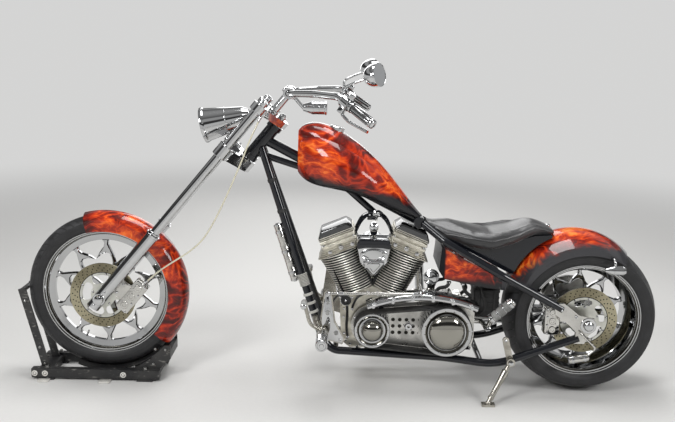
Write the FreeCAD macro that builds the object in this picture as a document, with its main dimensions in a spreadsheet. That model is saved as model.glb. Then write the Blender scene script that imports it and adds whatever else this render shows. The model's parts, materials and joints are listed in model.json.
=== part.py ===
import FreeCAD
import Part
import Sketcher

import math
import os
import re

from FreeCAD import Vector, Rotation, Placement

# A long, raked chopper motorcycle standing in a front wheel chock.
# Millimetres. +Z is up, the front wheel points to -X and the left side to -Y.
# The origin lies on the floor, under the middle of the whole object.

SIZES = [
    # overall
    ("wheelbase", 2110),
    ("front_axle_x", -1025),
    ("front_axle_height", 389),
    ("rake_angle", 39.5),
    ("clearance", 0.3),
    ("running_clearance", 0.05),
    # front wheel
    ("front_tyre_radius", 351),
    ("front_tyre_half_width", 47),
    ("front_flange_radius", 282),
    ("front_rim_half_width", 36),
    ("front_hub_half_width", 75),
    ("front_hub_radius", 34),
    # rear wheel
    ("rear_tyre_radius", 335),
    ("rear_tyre_half_width", 142),
    ("rear_flange_radius", 249),
    ("rear_rim_half_width", 128),
    ("rear_hub_half_width", 115),
    ("rear_hub_radius", 46),
    # what both wheels share
    ("rim_well_depth", 26),
    ("rim_wall", 7),
    ("spoke_thickness", 22),
    ("disc_radius", 146),
    ("disc_inner_radius", 104),
    ("disc_thickness", 5),
    ("front_disc_y", -78),
    ("rear_disc_y", -118),
    ("axle_radius", 12.5),
    ("axle_bore_radius", 8),
    # fork
    ("leg_spread", 118),
    ("upper_leg_radius", 20.5),
    ("lower_leg_radius", 29),
    ("leg_below_axle", 52),
    ("lower_leg_top", 377),
    ("lower_tree_height", 850),
    ("lower_tree_thickness", 56),
    ("upper_tree_height", 1086),
    ("upper_tree_thickness", 36),
    ("leg_cap_height", 18),
    ("steering_offset", 100),
    ("stem_radius", 15),
    ("neck_radius", 30),
    ("riser_height", 92),
    ("riser_spread", 52),
    ("riser_radius", 17),
    ("riser_offset", 56),
    ("bar_radius", 15),
    ("grip_radius", 18),
    # frame
    ("frame_tube_radius", 17),
    ("backbone_radius", 22),
    ("rail_spread", 132),
    ("axle_plate_y", 188),
    ("axle_plate_thickness", 16),
    # engine and drive
    ("crank_x", 163),
    ("crank_height", 286),
    ("half_v_angle", 22.5),
    ("barrel_base", 158),
    ("barrel_length", 190),
    ("barrel_radius", 90),
    ("rocker_length", 78),
    ("case_half_width", 78),
    ("primary_centres", 322),
    ("primary_plate_y", -104),
    ("primary_plate_thickness", 14),
    ("front_pulley_radius", 72),
    ("clutch_radius", 104),
    ("belt_width", 58),
    ("belt_thickness", 7),
    ("chain_width", 15),
    ("chain_y", 154),
    ("sprocket_radius", 118),
    # bodywork
    ("fender_wall", 4),
    ("front_fender_radius", 367),
    ("front_fender_half_width", 66),
    ("front_fender_skirt_radius", 284),
    ("rear_fender_radius", 305),
    ("rear_fender_half_width", 156),
    ("rear_fender_skirt_radius", 297),
    # stand and chock
    ("stand_pivot_x", 758),
    ("stand_pivot_y", -221),
    ("stand_pivot_height", 172),
    ("stand_pin_radius", 8),
    ("chock_half_width", 112),
    ("chock_length", 570),
    ("chock_rail_height", 50),
]

DOCUMENT = FreeCAD.newDocument("chopper")
SHEET = DOCUMENT.addObject("Spreadsheet::Sheet", "Sizes")
for row, (alias, value) in enumerate(SIZES, start=1):
    SHEET.set(f"A{row}", alias)
    SHEET.set(f"B{row}", str(value))
    SHEET.setAlias(f"B{row}", alias)
DOCUMENT.recompute()

ALIASES = {alias for alias, value in SIZES}
REAR_AXLE_X = "(front_axle_x + wheelbase)"
SUB_PARTS = []


# ---- expressions and placements ----

def bound(expression):
    """The expression with each alias pointing at its cell."""
    def point(match):
        word = match.group(0)
        return f"Sizes.{word}" if word in ALIASES else word
    return re.sub(r"[A-Za-z_][A-Za-z_0-9]*", point, str(expression))


def number(expression):
    return float(SHEET.evalExpression(bound(expression)))


def place(piece, base, axis=(0, 0, 1), angle=0):
    """Puts a piece at a base point, turned about an axis. All values may be expressions."""
    piece.Placement = Placement(
        Vector(*[number(value) for value in base]), Rotation(Vector(*axis), number(angle)))
    for letter, value in zip("xyz", base):
        piece.setExpression(f"Placement.Base.{letter}", bound(value))
    if angle != 0:
        piece.setExpression("Placement.Rotation.Angle", bound(angle))
    return piece


def on_fork(piece):
    """The fork's own frame: origin on the front axle, local Z up along the legs."""
    return place(piece, ("front_axle_x", 0, "front_axle_height"), (0, 1, 0), "rake_angle")


def fork_point(back, side, up):
    """A point of the fork's own frame, in the object's frame."""
    rake = math.radians(number("rake_angle"))
    back, side, up = number(back), number(side), number(up)
    return Vector(
        number("front_axle_x") + back * math.cos(rake) + up * math.sin(rake),
        side,
        number("front_axle_height") - back * math.sin(rake) + up * math.cos(rake))


def fork_direction(x, y, z):
    """A direction of the object's frame, in the fork's own frame."""
    rake = math.radians(number("rake_angle"))
    return Vector(x * math.cos(rake) - z * math.sin(rake), y, x * math.sin(rake) + z * math.cos(rake))


def node(piece, name):
    """Names a finished sub-part."""
    piece.Label = name
    SUB_PARTS.append(piece)
    return piece


# ---- primitives and booleans ----

def primitive(kind, sizes, base=(0, 0, 0), axis=(0, 0, 1), angle=0):
    piece = DOCUMENT.addObject(f"Part::{kind}", kind.lower())
    for name, value in sizes.items():
        setattr(piece, name, number(value))
        piece.setExpression(name, bound(value))
    return place(piece, base, axis, angle)


def cylinder(radius, length, base, axis=(0, 0, 1), angle=0):
    return primitive("Cylinder", {"Radius": radius, "Height": length}, base, axis, angle)


def cross_cylinder(radius, length, base):
    """A cylinder along +Y from its base."""
    return cylinder(radius, length, base, (1, 0, 0), -90)


def box(length, width, height, base, axis=(0, 0, 1), angle=0):
    return primitive("Box", {"Length": length, "Width": width, "Height": height}, base, axis, angle)


def fused(*pieces):
    piece = DOCUMENT.addObject("Part::MultiFuse", "fused")
    piece.Shapes = list(pieces)
    return piece


def cut(base, tool):
    piece = DOCUMENT.addObject("Part::Cut", "cut")
    piece.Base = base
    piece.Tool = tool
    return piece


def grouped(*pieces):
    """Separate solids that share a node."""
    piece = DOCUMENT.addObject("Part::Compound", "grouped")
    piece.Links = list(pieces)
    return piece


def mirrored(source):
    piece = DOCUMENT.addObject("Part::Mirroring", "mirrored")
    piece.Source = source
    piece.Normal = Vector(0, 1, 0)
    return piece


def both_sides(source):
    return grouped(source, mirrored(source))


# ---- sketched bodies ----

def outline(body, plane, points):
    """A closed sketch. Each point is (x, y) or (x, y, radius): a radius makes the edge that
    leaves the point an arc, which bulges to the right of its way for a positive radius and
    to the left for a negative one."""
    sketch = body.newObject("Sketcher::SketchObject", "outline")
    plane_feature = [f for f in body.Origin.OriginFeatures if f.Role == plane][0]
    sketch.AttachmentSupport = [(plane_feature, "")]
    sketch.MapMode = "FlatFace"
    spots = [Vector(number(p[0]), number(p[1]), 0) for p in points]
    for i, point in enumerate(points):
        start, end = spots[i], spots[(i + 1) % len(spots)]
        if len(point) < 3:
            sketch.addGeometry(Part.LineSegment(start, end), False)
            continue
        radius = number(point[2])
        chord = end - start
        right = Vector(chord.y, -chord.x, 0).normalize()
        rise = math.sqrt(max(radius ** 2 - (chord.Length / 2) ** 2, 0))
        if len(point) == 4:
            rise = -rise
        side = 1 if radius > 0 else -1
        middle = (start + end) / 2 + right * side * (abs(radius) - rise)
        ends = (start, end) if radius > 0 else (end, start)
        sketch.addGeometry(Part.Arc(ends[0], middle, ends[1]), False)
    tie_outline(sketch, points, spots)
    return sketch


def tie_outline(sketch, points, spots):
    """Binds every corner and radius of the outline to its expression."""
    count = len(points)
    for i, point in enumerate(points):
        edge = sketch.Geometry[i]
        start, end = spots[i], spots[(i + 1) % count]
        ends = edge.StartPoint, edge.EndPoint
        first = 1 if (ends[0] - start).Length < (ends[1] - start).Length else 2
        for end_number, spot, target in ((first, start, point), (3 - first, end, points[(i + 1) % count])):
            if end_number == 3 - first:
                continue
            for kind, value in (("DistanceX", target[0]), ("DistanceY", target[1])):
                tie_distance(sketch, kind, i, end_number, value)
        following = (i + 1) % count
        next_edge = sketch.Geometry[following]
        next_first = 1 if (next_edge.StartPoint - end).Length < (next_edge.EndPoint - end).Length else 2
        sketch.addConstraint(Sketcher.Constraint("Coincident", i, 3 - first, following, next_first))
        if len(point) > 2:
            index = sketch.addConstraint(Sketcher.Constraint("Radius", i, abs(number(point[2]))))
            sketch.setExpression(f"Constraints[{index}]", bound(f"abs({point[2]})"))


def tie_distance(sketch, kind, edge, end_number, value):
    if abs(number(value)) < 1e-9:
        line = -2 if kind == "DistanceX" else -1
        sketch.addConstraint(Sketcher.Constraint("PointOnObject", edge, end_number, line))
        return
    index = sketch.addConstraint(
        Sketcher.Constraint(kind, -1, 1, edge, end_number, number(value)))
    sketch.setExpression(f"Constraints[{index}]", bound(value))


def new_body():
    return DOCUMENT.addObject("PartDesign::Body", "body")


def spun(body, points, angle=360):
    """Turns an outline of (along the axle, distance from it) points about the axle."""
    sketch = outline(body, "YZ_Plane", points)
    feature = body.newObject("PartDesign::Revolution", "spun")
    feature.Profile = sketch
    feature.ReferenceAxis = (sketch, ["H_Axis"])
    feature.Angle = angle
    return feature


def padded(body, points, thickness, plane="XZ_Plane"):
    """A plate from its outline, centred on the plane."""
    sketch = outline(body, plane, points)
    feature = body.newObject("PartDesign::Pad", "plate")
    feature.Profile = sketch
    feature.SideType = 2
    feature.Length = number(thickness)
    feature.setExpression("Length", bound(thickness))
    return feature


def wheel(points, base):
    body = new_body()
    spun(body, points)
    return place(body, base)


def plate(points, thickness, base, axis=(0, 0, 1), angle=0, plane="XZ_Plane"):
    body = new_body()
    padded(body, points, thickness, plane)
    return place(body, base, axis, angle)


# ---- shapes that primitives and sketches don't give ----

def feature(shape, placement=None):
    piece = DOCUMENT.addObject("Part::Feature", "shape")
    piece.Shape = shape
    if placement is not None:
        piece.Placement = placement
    return piece


def bent_tube(points, radius, bends):
    """A round bar along straight runs that are joined by tangent arcs.
    bends is one radius for every corner, or a list with one for each."""
    spots = [Vector(*[number(value) for value in point]) for point in points]
    corners = len(spots) - 2
    radii = bends if isinstance(bends, list) else [bends] * corners
    edges, start = [], spots[0]
    for corner, radius_here in zip(range(1, corners + 1), radii):
        before, here, after = spots[corner - 1], spots[corner], spots[corner + 1]
        incoming, outgoing = (here - before).normalize(), (after - here).normalize()
        half_turn = incoming.getAngle(outgoing) / 2
        setback = radius_here * math.tan(half_turn)
        arc_start, arc_end = here - incoming * setback, here + outgoing * setback
        inward = (outgoing - incoming).normalize()
        centre = here + inward * (radius_here / math.cos(half_turn))
        edges.append(Part.LineSegment(start, arc_start).toShape())
        edges.append(Part.Arc(arc_start, centre - inward * radius_here, arc_end).toShape())
        start = arc_end
    edges.append(Part.LineSegment(start, spots[-1]).toShape())
    path = Part.Wire(edges)
    section = Part.Face(Part.Wire(Part.makeCircle(radius, spots[0], spots[1] - spots[0])))
    tube = path.makePipe(section)
    expected = math.pi * radius ** 2 * path.Length
    if abs(tube.Volume - expected) > 0.01 * expected:
        raise RuntimeError("a bent tube lost its volume")
    return tube


def mirrored_point(point):
    return point[0], -point[1], point[2]


def mirrored_shape(shape):
    return shape.mirror(Vector(0, 0, 0), Vector(0, 1, 0))


def rounded_section(x, half_width, low, side, top, shoulder=0.62):
    """A closed section across X: flat below, with arcs up both sides and over the top."""
    upper = half_width * shoulder
    shoulder_height = side + (top - side) * 0.62
    corners = [
        Vector(x, -half_width * 0.72, low), Vector(x, half_width * 0.72, low),
        Vector(x, upper, shoulder_height), Vector(x, -upper, shoulder_height)]
    right = Part.Arc(corners[1], Vector(x, half_width, side), corners[2]).toShape()
    over = Part.Arc(corners[2], Vector(x, 0, top), corners[3]).toShape()
    left = Part.Arc(corners[3], Vector(x, -half_width, side), corners[0]).toShape()
    flat = Part.LineSegment(corners[0], corners[1]).toShape()
    return Part.Wire([flat, right, over, left])


def crown(half_width, rise):
    """The radius of an arc over a chord."""
    return f"((({half_width}) ^ 2 + ({rise}) ^ 2) / (2 * ({rise})))"


def polar(radius, degrees):
    turn = math.radians(degrees)
    return f"({radius}) * {math.cos(turn):.5f}", f"({radius}) * {math.sin(turn):.5f}"


# ---- wheels ----

def tyre(name, radius, half_width, flange, rim_half_width, shoulder_drop, base):
    shoulder = f"({half_width} - 3)"
    seat = f"({flange} + clearance)"
    body = wheel([
        (f"-{rim_half_width}", seat),
        (rim_half_width, seat, f"1.4 * {shoulder_drop} + 6"),
        (shoulder, f"{radius} - {shoulder_drop}", crown(shoulder, shoulder_drop)),
        (f"-{shoulder}", f"{radius} - {shoulder_drop}", f"1.4 * {shoulder_drop} + 6"),
    ], base)
    return node(body, name)


def rim(name, flange, half_width, hub_radius, hub_half_width, spoke, base):
    """Hub, spokes and a drop-centre rim. spoke has rows of (share of the way to the rim,
    degrees), with a third value where the edge that leaves the point is an arc."""
    seat = f"({flange} - 14)"
    well = f"({flange} - 14 - rim_well_depth)"
    bore = "(axle_radius + running_clearance)"
    body = new_body()
    spun(body, [
        (f"-{hub_half_width}", bore), (hub_half_width, bore),
        (hub_half_width, hub_radius), (f"-{hub_half_width}", hub_radius)])
    reach = f"({well} - rim_wall / 2)"
    root = f"({hub_radius} - 6)"
    blade = padded(body, [
        polar(f"{root} + ({reach} - {root}) * {row[0]}", row[1]) + tuple(row[2:]) for row in spoke],
        "spoke_thickness")
    pattern = body.newObject("PartDesign::PolarPattern", "spokes")
    pattern.Originals = [blade]
    pattern.Axis = (blade.Profile[0], ["N_Axis"])
    pattern.Occurrences = SPOKE_COUNT
    body.Tip = pattern
    steps = [(1, seat), (0.45, seat), (0.3, well), (-0.3, well), (-0.45, seat), (-1, seat)]
    inner = [(f"{half_width} * {share}", f"{level} - rim_wall") for share, level in steps]
    outer = [
        (f"-{half_width}", flange), (f"-{half_width} + 6", flange), (f"-{half_width} + 6", seat),
        (f"-{half_width} * 0.45", seat), (f"-{half_width} * 0.3", well),
        (f"{half_width} * 0.3", well), (f"{half_width} * 0.45", seat),
        (f"{half_width} - 6", seat), (f"{half_width} - 6", flange), (half_width, flange)]
    spun(body, outer + inner)
    place(body, base)
    return node(body, name)


def brake_disc(name, side, base_x, base_height, hub_radius):
    """A disc on its carrier, with five long windows round the hub."""
    inner, outer = f"({hub_radius} + 20)", "(disc_inner_radius - 12)"
    half = "(disc_thickness / 2)"
    body = new_body()
    spun(body, [
        (f"-{half}", "axle_radius + 4"), (half, "axle_radius + 4"), (half, "disc_radius"),
        (f"-{half}", "disc_radius")])
    cap = f"0.56 * ({outer} - {inner})"
    window = body.newObject("PartDesign::Pocket", "window")
    window.Profile = outline(body, "XZ_Plane", [
        polar(inner, 0) + (inner,), polar(inner, 46) + (f"-{cap}",),
        polar(outer, 46) + (f"-{outer}",), polar(outer, 0) + (f"-{cap}",)])
    window.SideType = 2
    window.Length = 40
    pattern = body.newObject("PartDesign::PolarPattern", "windows")
    pattern.Originals = [window]
    pattern.Axis = (window.Profile[0], ["N_Axis"])
    pattern.Occurrences = SPOKE_COUNT
    body.Tip = pattern
    place(body, (base_x, side, base_height))
    return node(body, name)


SPOKE_COUNT = 5
# share of the way from hub to rim, degrees from the spoke's middle, radius of the edge
FRONT_SPOKE = [
    (0, -22), (0.36, -6), (0.66, -10), (0.80, -17, 120), (0.60, -35, -110), (0.87, -25), (1, -22),
    (1, -14), (0.50, 0), (1, 13), (1, 20), (0.85, 20, -90), (0.60, 31, 110), (0.78, 15),
    (0.64, 9), (0.36, 6), (0, 22)]
REAR_SPOKE = [
    (0, -24), (0.36, -7), (0.64, -10), (0.78, -17, 110), (0.58, -33, -100), (0.85, -25), (1, -23),
    (1, -14), (0.48, 0), (1, 14), (1, 21), (0.83, 21, -80), (0.56, 33, 100), (0.76, 15),
    (0.62, 9), (0.36, 7), (0, 24)]


def front_wheel():
    base = ("front_axle_x", 0, "front_axle_height")
    tyre("front_tyre", "front_tyre_radius", "front_tyre_half_width",
         "front_flange_radius", "front_rim_half_width", "28", base)
    rim("front_rim", "front_flange_radius", "front_rim_half_width",
        "front_hub_radius", "front_hub_half_width", FRONT_SPOKE, base)
    brake_disc("front_disc", "front_disc_y", "front_axle_x", "front_axle_height", "front_hub_radius")


def rear_wheel():
    base = (REAR_AXLE_X, 0, "rear_tyre_radius")
    tyre("rear_tyre", "rear_tyre_radius", "rear_tyre_half_width",
         "rear_flange_radius", "rear_rim_half_width", "34", base)
    rim("rear_rim", "rear_flange_radius", "rear_rim_half_width",
        "rear_hub_radius", "rear_hub_half_width", REAR_SPOKE, base)
    brake_disc("rear_disc", "rear_disc_y", REAR_AXLE_X, "rear_tyre_radius", "rear_hub_radius")
    start = "(chain_y - chain_width / 2)"
    toothed = cross_cylinder("sprocket_radius", "chain_width", (REAR_AXLE_X, start, "rear_tyre_radius"))
    carrier = cross_cylinder(
        "rear_hub_radius + 10", f"{start} - rear_hub_half_width - clearance",
        (REAR_AXLE_X, "rear_hub_half_width + clearance", "rear_tyre_radius"))
    bore = cross_cylinder(
        "axle_radius + 4", "120", (REAR_AXLE_X, "rear_hub_half_width - 10", "rear_tyre_radius"))
    node(cut(fused(toothed, carrier), bore), "rear_sprocket")


def axle(name, base_x, base_height, half_length, spacers):
    """A hollow axle with its spacers. spacers has rows of (start, end, radius)."""
    rod = cross_cylinder("axle_radius", f"2 * ({half_length})", (base_x, f"-({half_length})", base_height))
    pieces = [rod]
    for start, end, radius in spacers:
        pieces.append(cross_cylinder(radius, f"({end}) - ({start})", (base_x, start, base_height)))
    for side in (-1, 1):
        start = f"{side} * ({half_length})" if side > 0 else f"-({half_length}) - 8"
        pieces.append(cross_cylinder("axle_radius + 6", "8", (base_x, start, base_height)))
    bore = cross_cylinder(
        "axle_bore_radius", f"2 * ({half_length}) + 40", (base_x, f"-({half_length}) - 20", base_height))
    return node(cut(fused(*pieces), bore), name)


# ---- frame ----

def rail_points():
    """Centre lines of the left side's frame tubes."""
    rear_x = number(REAR_AXLE_X)
    spread = number("rail_spread")
    plate_y = number("axle_plate_y") - 3
    flare = number("rear_fender_half_width + frame_tube_radius") + 12
    foot = (-60, -spread + 12, 245)
    return {
        "down": [fork_point(115, -18, 952), Vector(*foot)],
        "lower": [foot, (-14, -spread, 177), (480, -spread, 154), (rear_x - 385, -flare, 146),
                  (rear_x - 36, -plate_y, 276)],
        "upper": [(380, -46, 733), (470, -spread + 8, 671), (rear_x - 385, -flare, 549),
                  (rear_x - 112, -plate_y, 402)],
    }


def spine_tubes(extra=0.0):
    """The backbone and the tube below it, thicker by extra."""
    low = number("lower_tree_height + lower_tree_thickness / 2 + 1")
    high = number("upper_tree_height - upper_tree_thickness / 2 - 1")
    upper = [fork_point("steering_offset", 0, (low + high) / 2 + 12), (140, 0, 850), (369, 0, 735)]
    lower = [fork_point("steering_offset", 0, low + 34), (-150, 0, 962), (40, 0, 878), (176, 0, 760)]
    return [
        bent_tube(upper, number("backbone_radius") + extra, 300),
        bent_tube(lower, number("frame_tube_radius") - 2 + extra, 160)]


def rails(extra=0.0):
    """The left lower and upper rails, thicker by extra."""
    points = rail_points()
    radius = number("frame_tube_radius") + extra
    return [bent_tube(points["lower"], radius, [70, 300, 300]), bent_tube(points["upper"], radius, [90, 300])]


def largest(shape):
    return max(shape.Solids, key=lambda each: each.Volume)


def backbone():
    """The neck with the two tubes that run back under the fuel tank."""
    low = number("lower_tree_height + lower_tree_thickness / 2 + 1")
    high = number("upper_tree_height - upper_tree_thickness / 2 - 1")
    axis = fork_point(0, 0, 1) - fork_point(0, 0, 0)
    base = fork_point("steering_offset", 0, low)
    neck = Part.makeCylinder(number("neck_radius"), high - low, base, axis)
    rings = [
        Part.makeCylinder(number("neck_radius") + 5, 22, fork_point("steering_offset", 0, up), axis)
        for up in (low, high - 22)]
    seat_lug = Part.makeCylinder(number("backbone_radius") + 3, 96, Vector(361, -48, 739), Vector(0, 1, 0))
    bore = Part.makeCylinder(
        number("stem_radius") + number("running_clearance"), high - low + 2, base - axis, axis)
    shape = neck.fuse(spine_tubes() + rings + [seat_lug]).cut(bore)
    node(feature(shape), "backbone")
    thicker = number("clearance")
    wide_neck = Part.makeCylinder(number("neck_radius") + 5 + thicker, high - low, base, axis)
    wide_lug = Part.makeCylinder(
        number("backbone_radius") + 3 + thicker, 96 + 2 * thicker,
        Vector(361, -48 - thicker, 739), Vector(0, 1, 0))
    return wide_neck.fuse(spine_tubes(thicker) + [wide_lug])


def frame_tubes(spine):
    """Down tubes and rails of both sides. Returns the rails with their clearance."""
    points = rail_points()
    gap = number("clearance")
    lower, upper = rails()
    wide_lower, wide_upper = rails(gap)
    middle = Part.makeBox(400, 60, 1200, Vector(-400, -gap / 2, 0))
    down = bent_tube(points["down"], number("frame_tube_radius"), [])
    down = largest(down.cut(spine).cut(wide_lower).cut(middle))
    upper = largest(upper.cut(spine))
    for name, tube in (("down_tubes", down), ("lower_rails", lower), ("upper_rails", upper)):
        node(feature(Part.Compound([tube, mirrored_shape(tube)])), name)
    return [wide_lower, wide_upper, mirrored_shape(wide_lower), mirrored_shape(wide_upper)]


CROSS_TUBES = [
    # along x, height, half length, radius
    (6, 176, 125, 13),
    (640, 148, 168, 13),
    (424, 700, 80, 10),
    (566, 617.9, 146, 10),
]


def cross_tubes(rail_tools):
    tubes = []
    for along, height, half, radius in CROSS_TUBES:
        tube = Part.makeCylinder(radius, 2 * half, Vector(along, -half, height), Vector(0, 1, 0))
        for tool in rail_tools:
            tube = tube.cut(tool)
        tubes.append(largest(tube))
    node(feature(Part.Compound(tubes)), "cross_tubes")


def axle_plates(rail_tools):
    """Polished plates that carry the rear axle between the ends of the rails."""
    corners = [
        (-150, 92), (-108, 96), (-40, 44), (26, 30), (34, -18), (4, -44), (-12, -82), (-56, -82),
        (-50, -30), (-92, 10), (-142, 46)]
    body = plate(corners, "axle_plate_thickness", (REAR_AXLE_X, "-axle_plate_y", "rear_tyre_radius"))
    hole = cross_cylinder(
        "axle_radius + clearance", "axle_plate_thickness + 40",
        (REAR_AXLE_X, "-axle_plate_y - axle_plate_thickness / 2 - 20", "rear_tyre_radius"))
    drilled = cut(body, hole)
    DOCUMENT.recompute()
    notched = drilled.Shape
    for tool in rail_tools:
        notched = notched.cut(tool)
    solid = largest(notched)
    return node(feature(Part.Compound([solid, mirrored_shape(solid)])), "axle_plates")


# ---- engine and drive ----

def loop_outline(first_radius, second_radius, centres):
    """Two circles and the lines that touch both. The first circle is at the origin."""
    lean = f"((({second_radius}) - ({first_radius})) / ({centres}))"
    level = f"(sqrt(1 - {lean} ^ 2))"
    return [
        (f"-({first_radius}) * {lean}", f"({first_radius}) * {level}"),
        (f"{centres} - ({second_radius}) * {lean}", f"({second_radius}) * {level}",
         f"-({second_radius})", "long"),
        (f"{centres} - ({second_radius}) * {lean}", f"-({second_radius}) * {level}"),
        (f"-({first_radius}) * {lean}", f"-({first_radius}) * {level}", f"-({first_radius})"),
    ]


def engine_case():
    """Crankcase of a 45 degree V twin, with the boss that carries the primary plate."""
    corners = [
        (-133, -84), (-96, -114), (100, -114), (168, -60), (168, 92), (123.3, 119.4), (0, 170.5),
        (-123.3, 119.4), (-140, 60)]
    case = plate(corners, "2 * case_half_width", ("crank_x", 0, "crank_height"))
    plate_face = "(-primary_plate_y - primary_plate_thickness / 2 - clearance)"
    boss = cross_cylinder(
        "64", f"{plate_face} - case_half_width + 2", ("crank_x", f"-{plate_face}", "crank_height"))
    cam_cover = cross_cylinder("88", "26", ("crank_x - 20", "case_half_width - 2", "crank_height"))
    feet = box("60", "2 * (rail_spread - frame_tube_radius - clearance)", "16",
               ("crank_x - 30", "-(rail_spread - frame_tube_radius - clearance)", "crank_height - 114"))
    node(fused(case, boss, cam_cover, feet), "engine_case")


def leaning(piece, side):
    """Turns a piece drawn upright over the crank to the front (-1) or rear (1) cylinder."""
    return place(piece, ("crank_x", 0, "crank_height"), (0, 1, 0), f"{side} * half_v_angle")


def cylinders():
    """Two barrels, each cut back at the middle of the V."""
    barrels = []
    for side, start in ((-1, "crank_x - 1"), (1, "crank_x - 399")):
        barrel = cylinder("barrel_radius", "barrel_length", (0, 0, "barrel_base + clearance"))
        beyond = box("400", "400", "600", (start, -200, "crank_height"))
        barrels.append(cut(leaning(grouped(barrel), side), beyond))
    node(grouped(*barrels), "cylinders")


def rocker_boxes():
    boxes = []
    foot = "(barrel_base + barrel_length + 2 * clearance)"
    top = f"({foot} + 118)"
    for side in (-1, 1):
        corners = [
            ("-70", foot), ("70", foot), ("82", f"{foot} + 26"), ("82", f"{top} - 28"), ("62", top),
            ("-62", top), ("-82", f"{top} - 28"), ("-82", f"{foot} + 26")]
        body = plate(corners, "2 * rocker_length", (0, 0, 0))
        boxes.append(leaning(grouped(body), side))
    node(grouped(*boxes), "rocker_boxes")


def v_cover():
    """The chrome shield in the V on the left side, on a boss from the intake."""
    corners = [(-66, 392), (66, 392), (77, 368), (60, 286), (8, 227), (-8, 227), (-60, 286), (-77, 368)]
    back = "(-barrel_radius - clearance)"
    shield = plate(corners, "34", ("crank_x", f"{back} - 17", "crank_height"))
    boss = cross_cylinder("14", f"-42 - clearance - {back} + 2", ("crank_x", f"{back} - 2", "crank_height + 334"))
    node(fused(shield, boss), "v_cover")


def air_cleaner():
    """Manifold and intake in the V, with a knob above and a round air cleaner on the right side."""
    intake = cross_cylinder("24", "150", ("crank_x", "-42", "crank_height + 352"))
    body = cross_cylinder("64", "52", ("crank_x", "rocker_length + 16", "crank_height + 304"))
    manifold = cylinder("12", "134.8", ("crank_x - 67.4", 0, "crank_height + 372"), (0, 1, 0), 90)
    post = cylinder("8", "64", ("crank_x", -30, "crank_height + 366"))
    knob = cross_cylinder("19", "34", ("crank_x", -54, "crank_height + 428"))
    node(fused(intake, body, manifold, post, knob), "air_cleaner")


def primary_drive():
    """The open belt primary on the left side: plate, pulleys, belt and guard."""
    origin = ("crank_x", "primary_plate_y", "crank_height")
    node(plate(loop_outline("92", "126", "primary_centres"), "primary_plate_thickness", origin),
         "primary_plate")
    outer_face = "(primary_plate_y - primary_plate_thickness / 2)"
    belt_middle = f"({outer_face} - 12 - belt_width / 2)"
    pulleys = []
    for along, radius, dome in (("crank_x", "front_pulley_radius", 46), ("crank_x + primary_centres", "clutch_radius", 70)):
        drum = cross_cylinder(
            radius, f"belt_width + 12 - clearance", (along, f"{outer_face} - 12 - belt_width", "crank_height"))
        flange = cross_cylinder(
            f"{radius} + 5", "4", (along, f"{outer_face} - 16.5 - belt_width", "crank_height"))
        cap = cross_cylinder(dome, "18", (along, f"{outer_face} - 30 - belt_width", "crank_height"))
        pulleys.append(fused(drum, flange, cap))
    node(grouped(*pulleys), "primary_pulleys")
    belt_origin = ("crank_x", belt_middle, "crank_height")
    first, second = "(front_pulley_radius + clearance)", "(clutch_radius + clearance)"
    outside = plate(
        loop_outline(f"{first} + belt_thickness", f"{second} + belt_thickness", "primary_centres"),
        "belt_width", belt_origin)
    inside = plate(loop_outline(first, second, "primary_centres"), "belt_width + 4", belt_origin)
    node(cut(outside, inside), "primary_belt")
    guard_width = "(belt_width + 22)"
    guard = plate(
        [(-26, 92, "-690"), (450, 92), (460, 126, "640"), (-34, 116)], guard_width,
        ("crank_x", f"{outer_face} - clearance - {guard_width} / 2", "crank_height"))
    lugs = []
    for along, low in ((26, 80), (288, 107)):
        lugs.append(box("24", "8", f"{134 - low}", (
            f"crank_x + {along}", f"{outer_face} - clearance - 8", f"crank_height + {low}")))
    node(fused(guard, *lugs), "belt_guard")


def transmission():
    """Gearbox behind the crankcase, with the boss of the clutch and the belt's output pulley."""
    corners = [(186, -112), (440, -112), (452, -60), (452, 60), (400, 112), (186, 112)]
    case = plate(corners, "2 * (case_half_width + 8)", ("crank_x", 0, "crank_height"))
    plate_face = "(-primary_plate_y - primary_plate_thickness / 2 - clearance)"
    boss = cross_cylinder(
        "78", f"{plate_face} - case_half_width", ("crank_x + primary_centres", f"-{plate_face}", "crank_height"))
    shaft = cross_cylinder(
        "16", "chain_y + chain_width / 2 - case_half_width + 2",
        ("crank_x + 396", "case_half_width + 2", "crank_height + 10"))
    output = cross_cylinder(
        "42", "chain_width", ("crank_x + 396", "chain_y - chain_width / 2", "crank_height + 10"))
    feet = box("44", "2 * (rail_spread - frame_tube_radius - clearance)", "16",
               ("crank_x + 214", "-(rail_spread - frame_tube_radius - clearance)", "crank_height - 136"))
    lug = box("44", "150", "30", ("crank_x + 214", "-75", "crank_height - 136"))
    node(fused(case, boss, shaft, output, feet, lug), "transmission")


def drive_chain():
    """The belt from the gearbox to the rear wheel, on the right side."""
    start_x, start_height = "(crank_x + 396)", "(crank_height + 10)"
    run = f"sqrt(({REAR_AXLE_X} - {start_x}) ^ 2 + (rear_tyre_radius - {start_height}) ^ 2)"
    climb = math.degrees(math.atan2(
        number(f"rear_tyre_radius - {start_height}"), number(f"{REAR_AXLE_X} - {start_x}")))
    origin = (start_x, "chain_y", start_height)
    first, second = "(42 + clearance)", "(sprocket_radius + clearance)"
    outside = plate(
        loop_outline(f"{first} + 5", f"{second} + 5", run), "chain_width", origin, (0, 1, 0), -climb)
    inside = plate(loop_outline(first, second, run), "chain_width + 4", origin, (0, 1, 0), -climb)
    node(cut(outside, inside), "drive_chain")


EXHAUSTS = [
    # (x, y, height) of each bend, bend radius
    ([(-14, 78.3, 620), (-14, 160, 620), (14, 234, 550), (24, 234, 330), (104, 234, 214),
      (930, 234, 214)], [36, 60, 80, 80]),
    ([(340, 78.3, 620), (340, 160, 620), (386, 234, 560), (400, 234, 340), (480, 234, 266),
      (990, 234, 266)], [36, 60, 80, 60]),
]


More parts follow.
